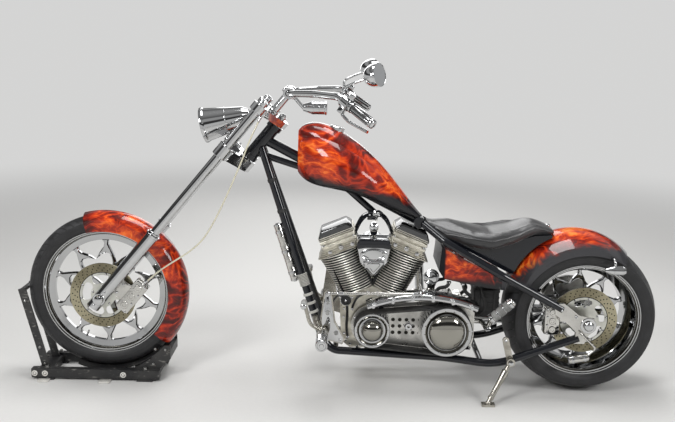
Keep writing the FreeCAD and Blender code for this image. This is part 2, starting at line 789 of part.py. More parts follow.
def exhaust_pipes():
    """Two pipes on the right side, each held by a lug on the frame's rail."""
    pipes = []
    for points, bends in EXHAUSTS:
        pipes.append(bent_tube(points, 22, bends))
    lugs = []
    rail_side = number("rear_fender_half_width + 2 * frame_tube_radius") + 12.6
    for along, low, high in ((742, 150, 274),):
        lugs.append(Part.makeBox(30, 234 - rail_side, high - low, Vector(along, rail_side, low)))
    node(feature(pipes[0].fuse(pipes[1:] + lugs)), "exhaust_pipes")


# ---- fork ----

def fork_legs():
    top = "(upper_tree_height + upper_tree_thickness / 2 + leg_cap_height)"
    upper = cylinder("upper_leg_radius", f"{top} - lower_leg_top", (0, "-leg_spread", "lower_leg_top"))
    lower = cylinder(
        "lower_leg_radius", "lower_leg_top + leg_below_axle", (0, "-leg_spread", "-leg_below_axle"))
    hole = cross_cylinder(
        "axle_radius + clearance", "2 * lower_leg_radius + 10", (0, "-leg_spread - lower_leg_radius - 5", 0))
    leg = cut(fused(upper, lower), hole)
    node(on_fork(both_sides(leg)), "fork_legs")


def tree(height, thickness, stem_hole):
    """A yoke plate with its leg clamps, square to the legs."""
    web = plate([
        (-12, "-leg_spread"), (16, "-leg_spread - 22"), ("steering_offset + 26", "-34"),
        ("steering_offset + 40", 0), ("steering_offset + 26", "34"), (16, "leg_spread + 22"),
        (-12, "leg_spread"), (22, 52), (22, -52)],
        f"{thickness} - 6", (0, 0, height), plane="XY_Plane")
    pieces = [web]
    for side in (-1, 1):
        pieces.append(cylinder(
            "upper_leg_radius + 12", thickness, (0, f"{side} * leg_spread", f"{height} - {thickness} / 2")))
    holes = []
    for side in (-1, 1):
        holes.append(cylinder(
            "upper_leg_radius + clearance", f"{thickness} + 4",
            (0, f"{side} * leg_spread", f"{height} - {thickness} / 2 - 2")))
    if stem_hole:
        holes.append(cylinder(
            "stem_radius + clearance", f"{thickness} + 4",
            ("steering_offset", 0, f"{height} - {thickness} / 2 - 2")))
    return cut(fused(*pieces), fused(*holes))


def triple_trees():
    lower = tree("lower_tree_height", "lower_tree_thickness", False)
    stem = cylinder(
        "stem_radius", "upper_tree_height + upper_tree_thickness / 2 + 10 - lower_tree_height",
        ("steering_offset", 0, "lower_tree_height"))
    upper = tree("upper_tree_height", "upper_tree_thickness", True)
    risers = []
    for side in (-1, 1):
        risers.append(cylinder(
            "riser_radius", "riser_height + upper_tree_thickness / 2",
            ("riser_offset", f"{side} * riser_spread", "upper_tree_height")))
    node(on_fork(grouped(fused(lower, stem), fused(upper, *risers))), "triple_trees")


def bar_points():
    """The left half of the handlebar from its middle, in the fork's own frame."""
    height = number("upper_tree_height + upper_tree_thickness / 2 + riser_height + bar_radius + clearance")
    offset = number("riser_offset")
    return [(offset, 0, height), (offset, -92, height), (offset + 85, -170, height + 77),
            (offset + 162, -278, height + 138), (offset + 322, -402, height + 150)]


def in_fork_frame(shape):
    rake = number("rake_angle")
    base = Vector(number("front_axle_x"), 0, number("front_axle_height"))
    return feature(shape, Placement(base, Rotation(Vector(0, 1, 0), rake)))


def handlebar():
    left = bar_points()
    right = [mirrored_point(point) for point in reversed(left[1:])]
    bar = bent_tube(right + left[1:], number("bar_radius"), [90, 110, 70, 70, 110, 90])
    node(in_fork_frame(bar), "handlebar")


def grips():
    start, end = Vector(*bar_points()[-2]), Vector(*bar_points()[-1])
    along = (end - start).normalize()
    length = 128
    sleeve = Part.makeCylinder(number("grip_radius"), length, end - along * (length - 4), along)
    bore = Part.makeCylinder(
        number("bar_radius + clearance"), length - 4 + number("clearance"), end - along * (length - 4), along)
    grip = sleeve.cut(bore)
    node(in_fork_frame(Part.Compound([grip, mirrored_shape(grip)])), "grips")


def perch_frame():
    """Where the left perch sits on the bar, the way along the grip, and the way down from it."""
    start, end = Vector(*bar_points()[-2]), Vector(*bar_points()[-1])
    along = (end - start).normalize()
    down = fork_direction(-0.5, 0, -1)
    down = (down - along * down.dot(along)).normalize()
    return end - along * 156, along, down


def hand_controls():
    """Perch, switch housing and lever at each grip."""
    perch, along, down = perch_frame()
    housing = Part.makeCylinder(24, 44, perch - along * 22, along)
    lever = bent_tube([
        perch, perch + down * 46 + along * 6, perch + down * 52 + along * 56,
        perch + down * 36 + along * 158], 6.5, [18, 80])
    bore = Part.makeCylinder(number("bar_radius + clearance"), 80, perch - along * 40, along)
    control = housing.fuse(lever).cut(bore)
    control = largest(control)
    node(in_fork_frame(Part.Compound([control, mirrored_shape(control)])), "hand_controls")


def mirrors():
    """Chrome mirror heads on stalks from the perches."""
    perch, along, down = perch_frame()
    head_at = perch + fork_direction(117, -23, 112)
    stalk = bent_tube([
        perch, perch + fork_direction(-20, 12, 56), perch + fork_direction(36, -6, 82), head_at],
        5.5, [24, 40])
    housing = Part.makeCylinder(24 + number("clearance"), 80, perch - along * 40, along)
    stalk = largest(stalk.cut(housing))
    flatten = FreeCAD.Matrix()
    flatten.scale(0.7, 1.0, 0.62)
    head = Part.makeSphere(76).transformGeometry(flatten)
    head = head.cut(Part.makeBox(80, 180, 120, Vector(8, -90, -60)))
    turn = Rotation(Vector(0, 1, 0), -number("rake_angle") - 12).multiply(Rotation(Vector(0, 0, 1), -20))
    head.Placement = Placement(head_at, turn)
    mirror = stalk.fuse(head)
    node(in_fork_frame(Part.Compound([mirror, mirrored_shape(mirror)])), "mirrors")


def gauge_pod():
    """A bullet gauge behind the bar, on a short arm from its middle."""
    middle = fork_point(*bar_points()[0])
    nose = middle + Vector(58, 0, -64)
    along = (nose - middle).normalize()
    start = middle + along * number("bar_radius + clearance")
    arm = Part.makeCylinder(8, (nose - start).Length + 8, start, along)
    level = Vector(1, 0, 0)
    cone = Part.makeCone(16, 29, 38, nose, level)
    body = Part.makeCylinder(29, 60, nose + level * 38, level)
    node(feature(arm.fuse([cone, body])), "gauge_pod")


HEADLIGHT_BASE = (-384, 0, 1187)


def headlight():
    """A long bell with its lens in front, on a bracket from the lower yoke."""
    shell = new_body()
    spun(shell, [
        (0, 0), (0, 30), (26, 44), (96, 56), (190, 72), (198, 76), (206, 76), (206, 71),
        (192, 68), (100, 52), (28, 39), (6, 24), (6, 0)])
    place(shell, (0, 0, 0), (0, 0, 1), 90)
    tilted = grouped(shell)
    place(tilted, HEADLIGHT_BASE, (0, 1, 0), -13.5)
    tree_top = "(lower_tree_height + lower_tree_thickness / 2 - 3 + clearance)"
    foot = box("88", "44", "8", (-34, -22, tree_top))
    post = cylinder("11", "48", (-22, 0, f"{tree_top} + 6"))
    node(fused(tilted, on_fork(grouped(fused(foot, post)))), "headlight_shell")
    lens = new_body()
    spun(lens, [(194, 0), (211, 0), (203, 67.5), (194, 67.5)])
    place(lens, (0, 0, 0), (0, 0, 1), 90)
    tilted_lens = grouped(lens)
    place(tilted_lens, HEADLIGHT_BASE, (0, 1, 0), -13.5)
    node(tilted_lens, "headlight_lens")


def fender(half_width, radius, rise, low, start_angle, sweep, base, wall="fender_wall"):
    """A U section turned about the wheel from start_angle, measured up from the rear."""
    inner = f"({half_width} - {wall})"
    shoulder = f"({radius} - {rise})"
    body = new_body()
    spun(body, [
        (f"-{half_width}", low), (f"-{half_width} + {wall}", low),
        (f"-{half_width} + {wall}", shoulder, f"-{crown(inner, f'({rise} - {wall})')}"),
        (inner, shoulder), (inner, low), (half_width, low),
        (half_width, shoulder, crown(half_width, rise)), (f"-{half_width}", shoulder)], sweep)
    place(body, base, (0, 1, 0), 90 - start_angle)
    return body


def front_fender():
    body = fender("front_fender_half_width", "front_fender_radius", "38", "front_fender_skirt_radius",
                  104, 144, ("front_axle_x", 0, "front_axle_height"))
    reach = "(leg_spread - lower_leg_radius - clearance)"
    brackets = []
    for start in (f"-{reach}", "front_fender_half_width - 3"):
        brackets.append(box("26", f"{reach} - front_fender_half_width + 3", "44", (-13, start, 282)))
    node(fused(body, on_fork(grouped(*brackets))), "front_fender")


def rear_fender():
    body = fender("rear_fender_half_width", "rear_fender_radius", "50", "150",
                  166, 121, (f"{REAR_AXLE_X} - 28", 0, "rear_tyre_radius + 78"))
    opening = cross_cylinder(
        "rear_fender_skirt_radius", "2 * rear_fender_half_width + 20",
        (REAR_AXLE_X, "-rear_fender_half_width - 10", "rear_tyre_radius"))
    node(cut(body, opening), "rear_fender")


# ---- bodywork ----

TANK_SECTIONS = [
    # x, half width, low, widest, top
    (-172, 52, 952, 1030, 1128),
    (-100, 112, 905, 1020, 1163),
    (30, 150, 882, 985, 1116),
    (140, 138, 846, 930, 1034),
    (262, 92, 790, 845, 902),
    (372, 34, 742, 752, 766),
]


def fuel_tank(spine):
    """A long teardrop over the backbone, with the tunnel that seats it."""
    sections = [rounded_section(*row) for row in TANK_SECTIONS]
    tank = Part.makeLoft(sections, True, False).cut(spine)
    return node(feature(largest(tank)), "fuel_tank")


def fuel_cap(tank):
    cap = Part.makeCylinder(31, 14, Vector(-8, 0, 1128), Vector(0.28, 0, 1))
    cap = cap.cut(tank.Shape)
    cap = largest(cap)
    cap.translate(Vector(0, 0, 0.5))
    node(feature(cap), "fuel_cap")


def seat_sections():
    """Rows of (x, half width, low, side, top). The rear rows follow the rear wheel."""
    rear = number(REAR_AXLE_X) - 1085
    return [
        (388, 34, 741, 750, 764),
        (470, 88, 682, 716, 748),
        (585, 136, 650, 690, 717),
        (668, 152, 646, 682, 695),
        (762 + rear, 142, 672, 700, 713),
        (860 + rear, 100, 700, 738, 754),
        (958 + rear, 62, 704, 716, 728),
    ]


def seat():
    wires = [rounded_section(*row) for row in seat_sections()]
    node(feature(Part.makeLoft(wires, True, True)), "seat")


def seat_base():
    """The black pan that fills the space from the rails up to the seat."""
    rear = number(REAR_AXLE_X) - 1085
    top = [Vector(row[0], 0, row[2] - 1.2) for row in seat_sections()[1:6]]
    centre = Vector(number(REAR_AXLE_X) - 28, 0, number("rear_tyre_radius + 78"))
    reach = number("rear_fender_radius") + 0.6

    def on_fender(degrees):
        turn = math.radians(degrees)
        return centre + Vector(math.cos(turn), 0, math.sin(turn)) * reach
    tail = on_fender(114)
    tail_top = Vector(tail.x, 0, 702)
    edges = []
    path = [Vector(470, 0, 680)] + [Vector(744 + rear, 0, 536), on_fender(158)]
    for start, end in zip(path, path[1:]):
        edges.append(Part.LineSegment(start, end).toShape())
    edges.append(Part.Arc(on_fender(158), on_fender(136), tail).toShape())
    back = [tail, tail_top] + top[::-1] + [path[0]]
    for start, end in zip(back, back[1:]):
        if (end - start).Length > 0.01:
            edges.append(Part.LineSegment(start, end).toShape())
    face = Part.Face(Part.Wire(edges))
    half = 88
    base = face.extrude(Vector(0, 2 * half, 0))
    base.translate(Vector(0, -half, 0))
    node(feature(base), "seat_base")


def oil_tank():
    rear = number(REAR_AXLE_X) - 1085
    corners = [
        (455, 648), (445, 545), (470, 508), (620 + rear, 478), (734 + rear, 462), (742 + rear, 500)]
    body = plate(corners, "2 * (rail_spread - 8)", (0, 0, 0))
    lug = box("20", "60", "24", (556, -30, 583.6))
    node(fused(body, lug), "oil_tank")


# ---- controls and small pieces ----

FOOT_PLATE = [
    # x, height
    (-45, 464), (-28, 477), (-12, 450), (4, 334), (47, 257), (34, 232), (-13, 246), (-55, 254), (-63, 333)]


def foot_controls():
    """Forward controls on each side: an arm from the down tube, a plate, a peg and a toe lever."""
    peg_x, peg_height = -50, 284
    top, low = Vector(*rail_points()["down"][0]), Vector(*rail_points()["down"][1])
    start = low + (top - low) * 0.1
    arm = bent_tube([start, start + Vector(6, -46, -8), (peg_x, -236, 288)], 13, [30])
    peg = Part.makeCylinder(24, 130, Vector(peg_x, -236, peg_height), Vector(0, -1, 0))
    lever = bent_tube([(peg_x, -222, 292), (-104, -236, 330), (-128, -250, 430)], 8, [50])
    toe = Part.makeCylinder(11, 74, Vector(-128, -244, 432), Vector(0, -1, 0))
    corners = [Vector(along, -209, up) for along, up in FOOT_PLATE]
    blade = Part.Face(Part.makePolygon(corners + corners[:1])).extrude(Vector(0, 8, 0))
    shape = arm.fuse([peg, lever, toe, blade])
    tube = Part.makeCylinder(number("frame_tube_radius + clearance"), 400, low, top - low)
    solid = largest(shape.cut(tube))
    node(feature(Part.Compound([solid, mirrored_shape(solid)])), "foot_controls")


def shift_linkage():
    """The rod from the left foot plate to the top of the gearbox."""
    side = -209 - 6 - number("clearance")
    top = number("crank_height + 112 + clearance")
    rod = bent_tube([(-34, side, 461), (370, side, 466), (370, -60, 466), (370, -60, top)], 6, [14, 20])
    node(feature(rod), "shift_linkage")


def passenger_pegs():
    """Folded pegs behind the rider, on brackets from the rails."""
    start = Vector(664, -208, 356)
    along = Vector(116, -10, 110).normalize()
    peg = Part.makeCylinder(19, 124, start, along)
    clevis = bent_tube([
        ("crank_x + 452.3", -60, 300), (652, -60, 300), (656, -178, 304), start + along * 6],
        11, [20, 24])
    shape = peg.fuse(clevis)
    node(feature(Part.Compound([shape, mirrored_shape(shape)])), "passenger_pegs")


def front_canister():
    """A slim polished canister ahead of the left down tube."""
    top, foot = Vector(*rail_points()["down"][0]), Vector(*rail_points()["down"][1])
    along = (top - foot).normalize()
    ahead = Vector(-along.z, 0, along.x).normalize()
    start = foot + along * 262 + ahead * (number("frame_tube_radius + clearance") + 18.5)
    node(feature(Part.makeCylinder(18.5, 255, start, along)), "front_canister")


def calipers():
    """Six-piston calipers, slotted over the discs."""
    front_slot = "disc_thickness + 5"
    block = box("68", "54", "164", (64, "front_disc_y - 27", 2))
    bracket = box("50", "10", "80", (22, "-leg_spread + 8", 46))
    slot = cross_cylinder("disc_radius + 5", front_slot, (0, "front_disc_y - disc_thickness / 2 - 2.5", 0))
    leg = cylinder("lower_leg_radius + clearance", "300", (0, "-leg_spread", -50))
    node(on_fork(grouped(cut(fused(block, bracket), fused(slot, leg)))), "front_caliper")
    rear_block = box("70", "56", "132", (f"{REAR_AXLE_X} - 176", "rear_disc_y - 30", "rear_tyre_radius - 66"))
    rear_slot = cross_cylinder(
        "disc_radius + 5", front_slot, (REAR_AXLE_X, "rear_disc_y - disc_thickness / 2 - 2.5", "rear_tyre_radius"))
    arm = box("55", "36", "35", (f"{REAR_AXLE_X} - 120", "-axle_plate_y + axle_plate_thickness / 2 + clearance",
                                 "rear_tyre_radius + 10"))
    node(cut(fused(rear_block, arm), rear_slot), "rear_caliper")


def rear_signals():
    """Chrome bullet signals on bent stalks from the sides of the rear fender."""
    rear = number(REAR_AXLE_X) - 1085
    wall, side = -number("rear_fender_half_width + clearance"), -number("rear_fender_half_width") - 32
    stalk = bent_tube([(1178 + rear, wall, 624), (1178 + rear, side, 624), (1182 + rear, side, 582)], 6, [18])
    nose = Part.makeCone(8, 20, 30, Vector(1140 + rear, side, 579), Vector(1, 0, 0))
    body = Part.makeCylinder(20, 44, Vector(1170 + rear, side, 579), Vector(1, 0, 0))
    tail = Part.makeCone(20, 15, 10, Vector(1214 + rear, side, 579), Vector(1, 0, 0))
    shape = stalk.fuse([nose, body, tail])
    node(feature(Part.Compound([shape, mirrored_shape(shape)])), "rear_signals")


def tail_canister():
    """A polished canister on a bent rod from the left axle plate."""
    rear = number(REAR_AXLE_X) - 1085
    face = -number("axle_plate_y + axle_plate_thickness / 2 + clearance")
    rod = bent_tube([
        (1051 + rear, face, 306), (1051 + rear, face - 16, 306), (1120 + rear, face - 16, 240),
        (1078 + rear, face - 12, 196)], 5, [10, 14])
    can = Part.makeCylinder(16, 80, Vector(1010 + rear, face - 12, 183), Vector(80, 0, 15))
    node(feature(rod.fuse(can)), "tail_canister")


HOSE_POINTS = [
    # back, side, up in the fork's own frame
    (30, -118, 1066.6), (44, -138, 1011), (62, -148, 950), (84, -153, 886), (108, -156, 808),
    (133, -158, 720), (153, -160, 643), (169, -160, 566), (176, -158, 500), (166, -152, 430),
    (146, -144, 362), (128, -132, 300), (115, -116, 240), (106, -92, 167.4),
]


def corner_radii(points, share=0.45):
    """Each bend as large as its two runs allow."""
    spots = [Vector(*point) for point in points]
    radii = []
    for before, here, after in zip(spots, spots[1:], spots[2:]):
        half_turn = (here - before).getAngle(after - here) / 2
        shorter = min((here - before).Length, (after - here).Length)
        radii.append(share * shorter / math.tan(half_turn))
    return radii


def brake_hose():
    radii = corner_radii(HOSE_POINTS)
    print("hose bends", [round(value) for value in radii])
    node(in_fork_frame(bent_tube(HOSE_POINTS, 3.5, radii)), "brake_hose")


# ---- stand and chock ----

def side_stand():
    """A hinged leg on the left side, down, with its foot on the floor."""
    pivot = Vector(number("stand_pivot_x"), number("stand_pivot_y"), number("stand_pivot_height"))
    foot = Vector(pivot.x - 98, pivot.y - 62, 11)
    arm = bent_tube([pivot + Vector(-6, 0, -12), foot], 10, [])
    eye = Part.makeCylinder(18, 20, pivot + Vector(0, -10, 0), Vector(0, 1, 0))
    pad = Part.makeBox(56, 34, 9, Vector(foot.x - 28, foot.y - 17, 0))
    toe = Part.makeSphere(12.5, foot)
    bore = Part.makeCylinder(
        number("stand_pin_radius + running_clearance"), 60, pivot + Vector(0, -30, 0), Vector(0, 1, 0))
    floor = Part.makeBox(400, 400, 40, Vector(foot.x - 200, foot.y - 200, -40))
    shape = arm.fuse([eye, pad, toe]).cut(bore).cut(floor)
    node(feature(largest(shape)), "side_stand")


def stand_bracket():
    """The blade on the left rail, with the pin that carries the stand."""
    pivot = ("stand_pivot_x", "stand_pivot_y", "stand_pivot_height")
    blade_y = "stand_pivot_y + 10.5"
    reach, lean = 97, -14
    blade = box("28", "8", str(reach), ("stand_pivot_x - 14", blade_y, "stand_pivot_height"))
    hub = cross_cylinder("17", "8", ("stand_pivot_x", blade_y, "stand_pivot_height"))
    turn = math.radians(lean)
    eye = cross_cylinder(
        "14", "8", (f"stand_pivot_x + {reach * math.sin(turn):.2f}", blade_y,
                    f"stand_pivot_height + {reach * math.cos(turn):.2f}"))
    offset = 14 * math.cos(turn), -14 * math.sin(turn)
    place(blade, (f"stand_pivot_x - {offset[0]:.2f}", blade_y, f"stand_pivot_height - {offset[1]:.2f}"),
          (0, 1, 0), lean)
    pin = cross_cylinder("stand_pin_radius", "26", ("stand_pivot_x", "stand_pivot_y - 12", "stand_pivot_height"))
    head = cross_cylinder("11", "5", ("stand_pivot_x", "stand_pivot_y - 16", "stand_pivot_height"))
    node(fused(blade, hub, eye, pin, head), "stand_bracket")


def wheel_chock():
    """A black steel floor chock: base rails, a cradle under the tyre and two posts in front."""
    axle_x, axle_height = number("front_axle_x"), number("front_axle_height")
    tyre_radius = number("front_tyre_radius")
    half, length = number("chock_half_width"), number("chock_length")
    rail_height = number("chock_rail_height")
    front_x = axle_x - tyre_radius + 26
    cradle, posts, holes = [], [], []
    for along, width in ((20, 60), (240, 60), (length - 60, 50)):
        cradle.append(Part.makeBox(width, 2 * half - 30, 30, Vector(front_x + along, -half + 15, 10)))
    saddle = Part.makeCylinder(tyre_radius + 7, 124, Vector(axle_x, -62, axle_height), Vector(0, 1, 0))
    cradle.append(saddle.common(Part.makeBox(370, 124, 150, Vector(axle_x - 130, -62, 8))))
    cradle.append(Part.makeBox(18, 152, 40, Vector(axle_x + 274, -76, 98)))
    for side in (-1, 1):
        rail_y = side * (half - 15)
        cradle.append(Part.makeBox(length, 30, rail_height - 8, Vector(front_x, rail_y - 15, 8)))
        for along in (30, length - 100):
            cradle.append(Part.makeBox(70, 40, 8, Vector(front_x + along, rail_y - 20, 0)))
            holes.append(Part.makeCylinder(6, 80, Vector(front_x + along + 35, rail_y, -10)))
        cradle.append(Part.makeBox(100, 8, 104, Vector(axle_x + 125, side * 52 - 4, 12)))
        corners = [(120, 20), (210, 20), (292, 96), (292, 158), (206, 158), (206, 96), (120, 44), (120, 20)]
        cheek = Part.Face(Part.Wire(Part.makePolygon([
            Vector(axle_x + along, side * 76 - 4, up) for along, up in corners])))
        cradle.append(cheek.extrude(Vector(0, 8, 0)))
        post = Part.makeBox(34, 8, 400)
        post.Placement = Placement(Vector(front_x + 40, side * 64 - 4, 14), Rotation(Vector(0, 1, 0), -14))
        posts.append(post)
    room = Part.makeCylinder(tyre_radius + 0.5, 160, Vector(axle_x, -80, axle_height), Vector(0, 1, 0))
    top_bar = Part.makeCylinder(11, 136, Vector(front_x - 41, -68, 396), Vector(0, 1, 0))
    shape = cradle[0].fuse(cradle[1:]).cut(room).fuse(posts + [top_bar]).cut(Part.Compound(holes))
    node(feature(largest(shape)), "wheel_chock")


def check_and_write():
    DOCUMENT.recompute()
    for piece in DOCUMENT.Objects:
        if "Invalid" in piece.State or "Error" in piece.State:
            raise RuntimeError(f"{piece.Label} failed: {piece.State}")
    os.makedirs("parts", exist_ok=True)
    for piece in SUB_PARTS:
        if piece.Shape.isNull() or not piece.Shape.isValid():
            raise RuntimeError(f"{piece.Label} has no valid shape")
    for piece in SUB_PARTS:
        piece.Shape.exportStep(f"parts/{piece.Label}.step")


def main():
    front_wheel()
    rear_wheel()
    axle("front_axle", "front_axle_x", "front_axle_height", "leg_spread + lower_leg_radius + 2", [
        ("-leg_spread + lower_leg_radius + clearance", "front_disc_y - disc_thickness / 2 - 2", "axle_radius + 8"),
        ("front_hub_half_width + 2", "leg_spread - lower_leg_radius - clearance", "axle_radius + 8")])
    axle("rear_axle", REAR_AXLE_X, "rear_tyre_radius", "axle_plate_y + axle_plate_thickness / 2 + 2", [
        ("-axle_plate_y + axle_plate_thickness / 2 + clearance", "rear_disc_y - disc_thickness / 2 - 5", "axle_radius + 8")])
    spine = backbone()
    rail_tools = frame_tubes(spine)
    cross_tubes(rail_tools)
    axle_plates(rail_tools)
    engine_case()
    cylinders()
    rocker_boxes()
    v_cover()
    air_cleaner()
    primary_drive()
    transmission()
    drive_chain()
    exhaust_pipes()
    fork_legs()
    triple_trees()
    handlebar()
    grips()
    hand_controls()
    mirrors()
    gauge_pod()
    headlight()
    front_fender()
    rear_fender()
    tank = fuel_tank(spine)
    fuel_cap(tank)
    seat()
    seat_base()
    oil_tank()
    foot_controls()
    shift_linkage()
    passenger_pegs()
    front_canister()
    calipers()
    rear_signals()
    tail_canister()
    brake_hose()
    side_stand()
    stand_bracket()
    wheel_chock()
    check_and_write()


main()
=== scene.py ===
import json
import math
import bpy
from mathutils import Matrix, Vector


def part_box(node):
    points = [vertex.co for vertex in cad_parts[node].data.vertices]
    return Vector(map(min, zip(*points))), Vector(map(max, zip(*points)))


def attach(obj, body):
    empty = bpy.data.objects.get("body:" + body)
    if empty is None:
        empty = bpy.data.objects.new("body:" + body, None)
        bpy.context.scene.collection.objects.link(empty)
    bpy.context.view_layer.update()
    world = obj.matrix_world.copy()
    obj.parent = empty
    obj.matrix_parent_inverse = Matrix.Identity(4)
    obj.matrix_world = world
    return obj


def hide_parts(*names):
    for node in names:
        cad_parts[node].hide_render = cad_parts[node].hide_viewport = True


bl_info = {
    "name": "Chopper Looks",
    "version": (1, 0, 0),
    "blender": (4, 5, 0),
    "location": "View3D > Sidebar > Chopper",
    "description": "Finishes, trim and soft parts for a long raked motorcycle in a wheel chock",
    "category": "Object",
}

import bmesh
import bpy
from bpy.props import FloatProperty, FloatVectorProperty, IntProperty, PointerProperty
from mathutils import Matrix, Vector

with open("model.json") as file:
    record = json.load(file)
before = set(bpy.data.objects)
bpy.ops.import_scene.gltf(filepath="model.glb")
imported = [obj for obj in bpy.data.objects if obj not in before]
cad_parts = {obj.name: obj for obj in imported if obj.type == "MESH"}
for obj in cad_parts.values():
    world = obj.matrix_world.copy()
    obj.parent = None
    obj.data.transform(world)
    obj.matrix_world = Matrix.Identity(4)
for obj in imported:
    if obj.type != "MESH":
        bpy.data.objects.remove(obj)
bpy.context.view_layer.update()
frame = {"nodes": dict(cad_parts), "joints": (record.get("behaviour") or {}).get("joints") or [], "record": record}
JOINTS = {joint["name"]: joint for joint in frame["joints"]}
FRONT_AXLE = Vector(JOINTS["front_wheel_spin"]["pos_m"])
REAR_AXLE = Vector(JOINTS["rear_wheel_spin"]["pos_m"])
STEM = Vector(JOINTS["steering"]["axis"])
RAKE = math.atan2(STEM.x, STEM.z)
FORK = Matrix.Translation(FRONT_AXLE) @ Matrix.Rotation(RAKE, 4, "Y")
PLATE_LOW, PLATE_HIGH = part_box("primary_plate")
CRANK = Vector((PLATE_LOW.x + 0.092, 0, PLATE_LOW.z + 0.126))
CLUTCH = Vector((PLATE_HIGH.x - 0.126, 0, CRANK.z))
LEG_SIDE = 0.118
HALF_V = math.radians(22.5)
BARREL_FOOT, BARREL_LENGTH = 0.1583, 0.19
PULLEYS = ((CRANK, 0.072), (CLUTCH, 0.104))
AXLES = {"front": FRONT_AXLE, "rear": REAR_AXLE}
RIM_HALF = {"front": 0.036, "rear": 0.128}
HUBS = {"front": (0.034, 0.075), "rear": (0.046, 0.115)}
LEFT, RIGHT = Vector((0, -1, 0)), Vector((0, 1, 0))
SIDES = ((-1, LEFT), (1, RIGHT))
BACKDROP = (0.66, 0.66, 0.655)

FINISHES = {}


# ---- shader nodes ----

class Number:
    """A number's socket, used in sums that add Math nodes."""

    def __init__(self, finish, socket):
        self.finish = finish
        self.socket = socket

    def math(self, operation, other=None, swapped=False):
        values = [self] if other is None else [other, self] if swapped else [self, other]
        node = self.finish.node("Math", {"operation": operation}, dict(enumerate(values)))
        return Number(self.finish, node.outputs[0])

    def __add__(self, other):
        return self.math("ADD", other)

    __radd__ = __add__

    def __sub__(self, other):
        return self.math("SUBTRACT", other)

    def __rsub__(self, other):
        return self.math("SUBTRACT", other, True)

    def __mul__(self, other):
        return self.math("MULTIPLY", other)

    __rmul__ = __mul__

    def __truediv__(self, other):
        return self.math("DIVIDE", other)

    def __pow__(self, other):
        return self.math("POWER", other)

    def __abs__(self):
        return self.math("ABSOLUTE")

    def fraction(self):
        return self.math("FRACT")

    def above(self, level):
        return self.math("GREATER_THAN", level)

    def below(self, level):
        return self.math("LESS_THAN", level)

    def least(self, other):
        return self.math("MINIMUM", other)

    def most(self, other):
        return self.math("MAXIMUM", other)

    def ramped(self, low, high):
        """0 below low, 1 above high and smooth between them."""
        node = self.finish.node(
            "MapRange", {"interpolation_type": "SMOOTHSTEP"}, {"Value": self, "From Min": low, "From Max": high})
        return Number(self.finish, node.outputs["Result"])


class Nodes:
    """A node tree, emptied and built again."""

    def __init__(self, tree):
        self.tree = tree
        tree.nodes.clear()

    def node(self, kind, settings=None, inputs=None):
        made = self.tree.nodes.new("ShaderNode" + kind)
        for key, value in (settings or {}).items():
            if key == "stops":
                stops = made.color_ramp.elements
                stops.remove(stops[1])
                stops[0].position, stops[0].color = value[0][0], (*value[0][1], 1)
                for position, colour in value[1:]:
                    stops.new(position).color = (*colour, 1)
            else:
                setattr(made, key, value)
        for key, value in (inputs or {}).items():
            self.feed(made.inputs[key], value)
        return made

    def feed(self, socket, value):
        if isinstance(value, Number):
            value = value.socket
        if isinstance(value, bpy.types.NodeSocket):
            self.tree.links.new(value, socket)
        elif hasattr(value, "__len__") and socket.type == "RGBA" and len(value) == 3:
            socket.default_value = (*value, 1)
        else:
            socket.default_value = value


class Finish(Nodes):
    """A material round one Principled shader."""

    def __init__(self, name, **constants):
        self.material = bpy.data.materials.new(name)
        self.material.use_nodes = True
        super().__init__(self.material.node_tree)
        self.shader = self.node("BsdfPrincipled", inputs={
            key.replace("_", " "): value for key, value in constants.items()})
        self.output = self.node("OutputMaterial", inputs={"Surface": self.shader.outputs[0]})
        self.place = self.node("TexCoord").outputs["Object"]
        FINISHES[name] = self.material

    def set(self, **sockets):
        for key, value in sockets.items():
            self.feed(self.shader.inputs[key.replace("_", " ")], value)

    def moved(self, centre, stretch=(1, 1, 1)):
        """Object coordinates measured from a centre and stretched."""
        shifted = self.node("VectorMath", {"operation": "SUBTRACT"}, {0: self.place, 1: tuple(centre)})
        return self.node("Mapping", inputs={"Vector": shifted.outputs[0], "Scale": stretch}).outputs[0]

    def axes(self, vector=None):
        split = self.node("SeparateXYZ", inputs={0: self.place if vector is None else vector})
        return [Number(self, split.outputs[i]) for i in range(3)]

    def noise(self, scale, detail=3.0, vector=None, distortion=0.0):
        made = self.node("TexNoise", inputs={
            "Vector": self.place if vector is None else vector, "Scale": scale, "Detail": detail,
            "Distortion": distortion})
        return Number(self, made.outputs[0])

    def cells(self, scale, feature):
        made = self.node("TexVoronoi", {"feature": feature}, {"Vector": self.place, "Scale": scale})
        return Number(self, made.outputs["Distance"])

    def blend(self, share, first, second):
        """A colour between two colours."""
        return self.node("Mix", {"data_type": "RGBA"}, {0: share, 6: first, 7: second}).outputs[2]

    def ramp(self, value, stops):
        return self.node("ValToRGB", {"stops": stops}, {0: value}).outputs[0]

    def bump(self, height, distance, strength):
        inputs = {"Height": height, "Distance": distance, "Strength": strength}
        self.set(Normal=self.node("Bump", inputs=inputs).outputs[0])

    def round_axle(self, centre):
        """Distance from an axle along Y, the share of a turn round it, and Y."""
        x, y, z = self.axes(self.moved(centre))
        distance = (x * x + z * z) ** 0.5
        turn = z.math("ARCTAN2", x) * (1 / math.tau)
        return distance, turn, y


def shaded(colour, factor):
    return tuple(min(1.0, value * factor) for value in colour)


# ---- finishes ----

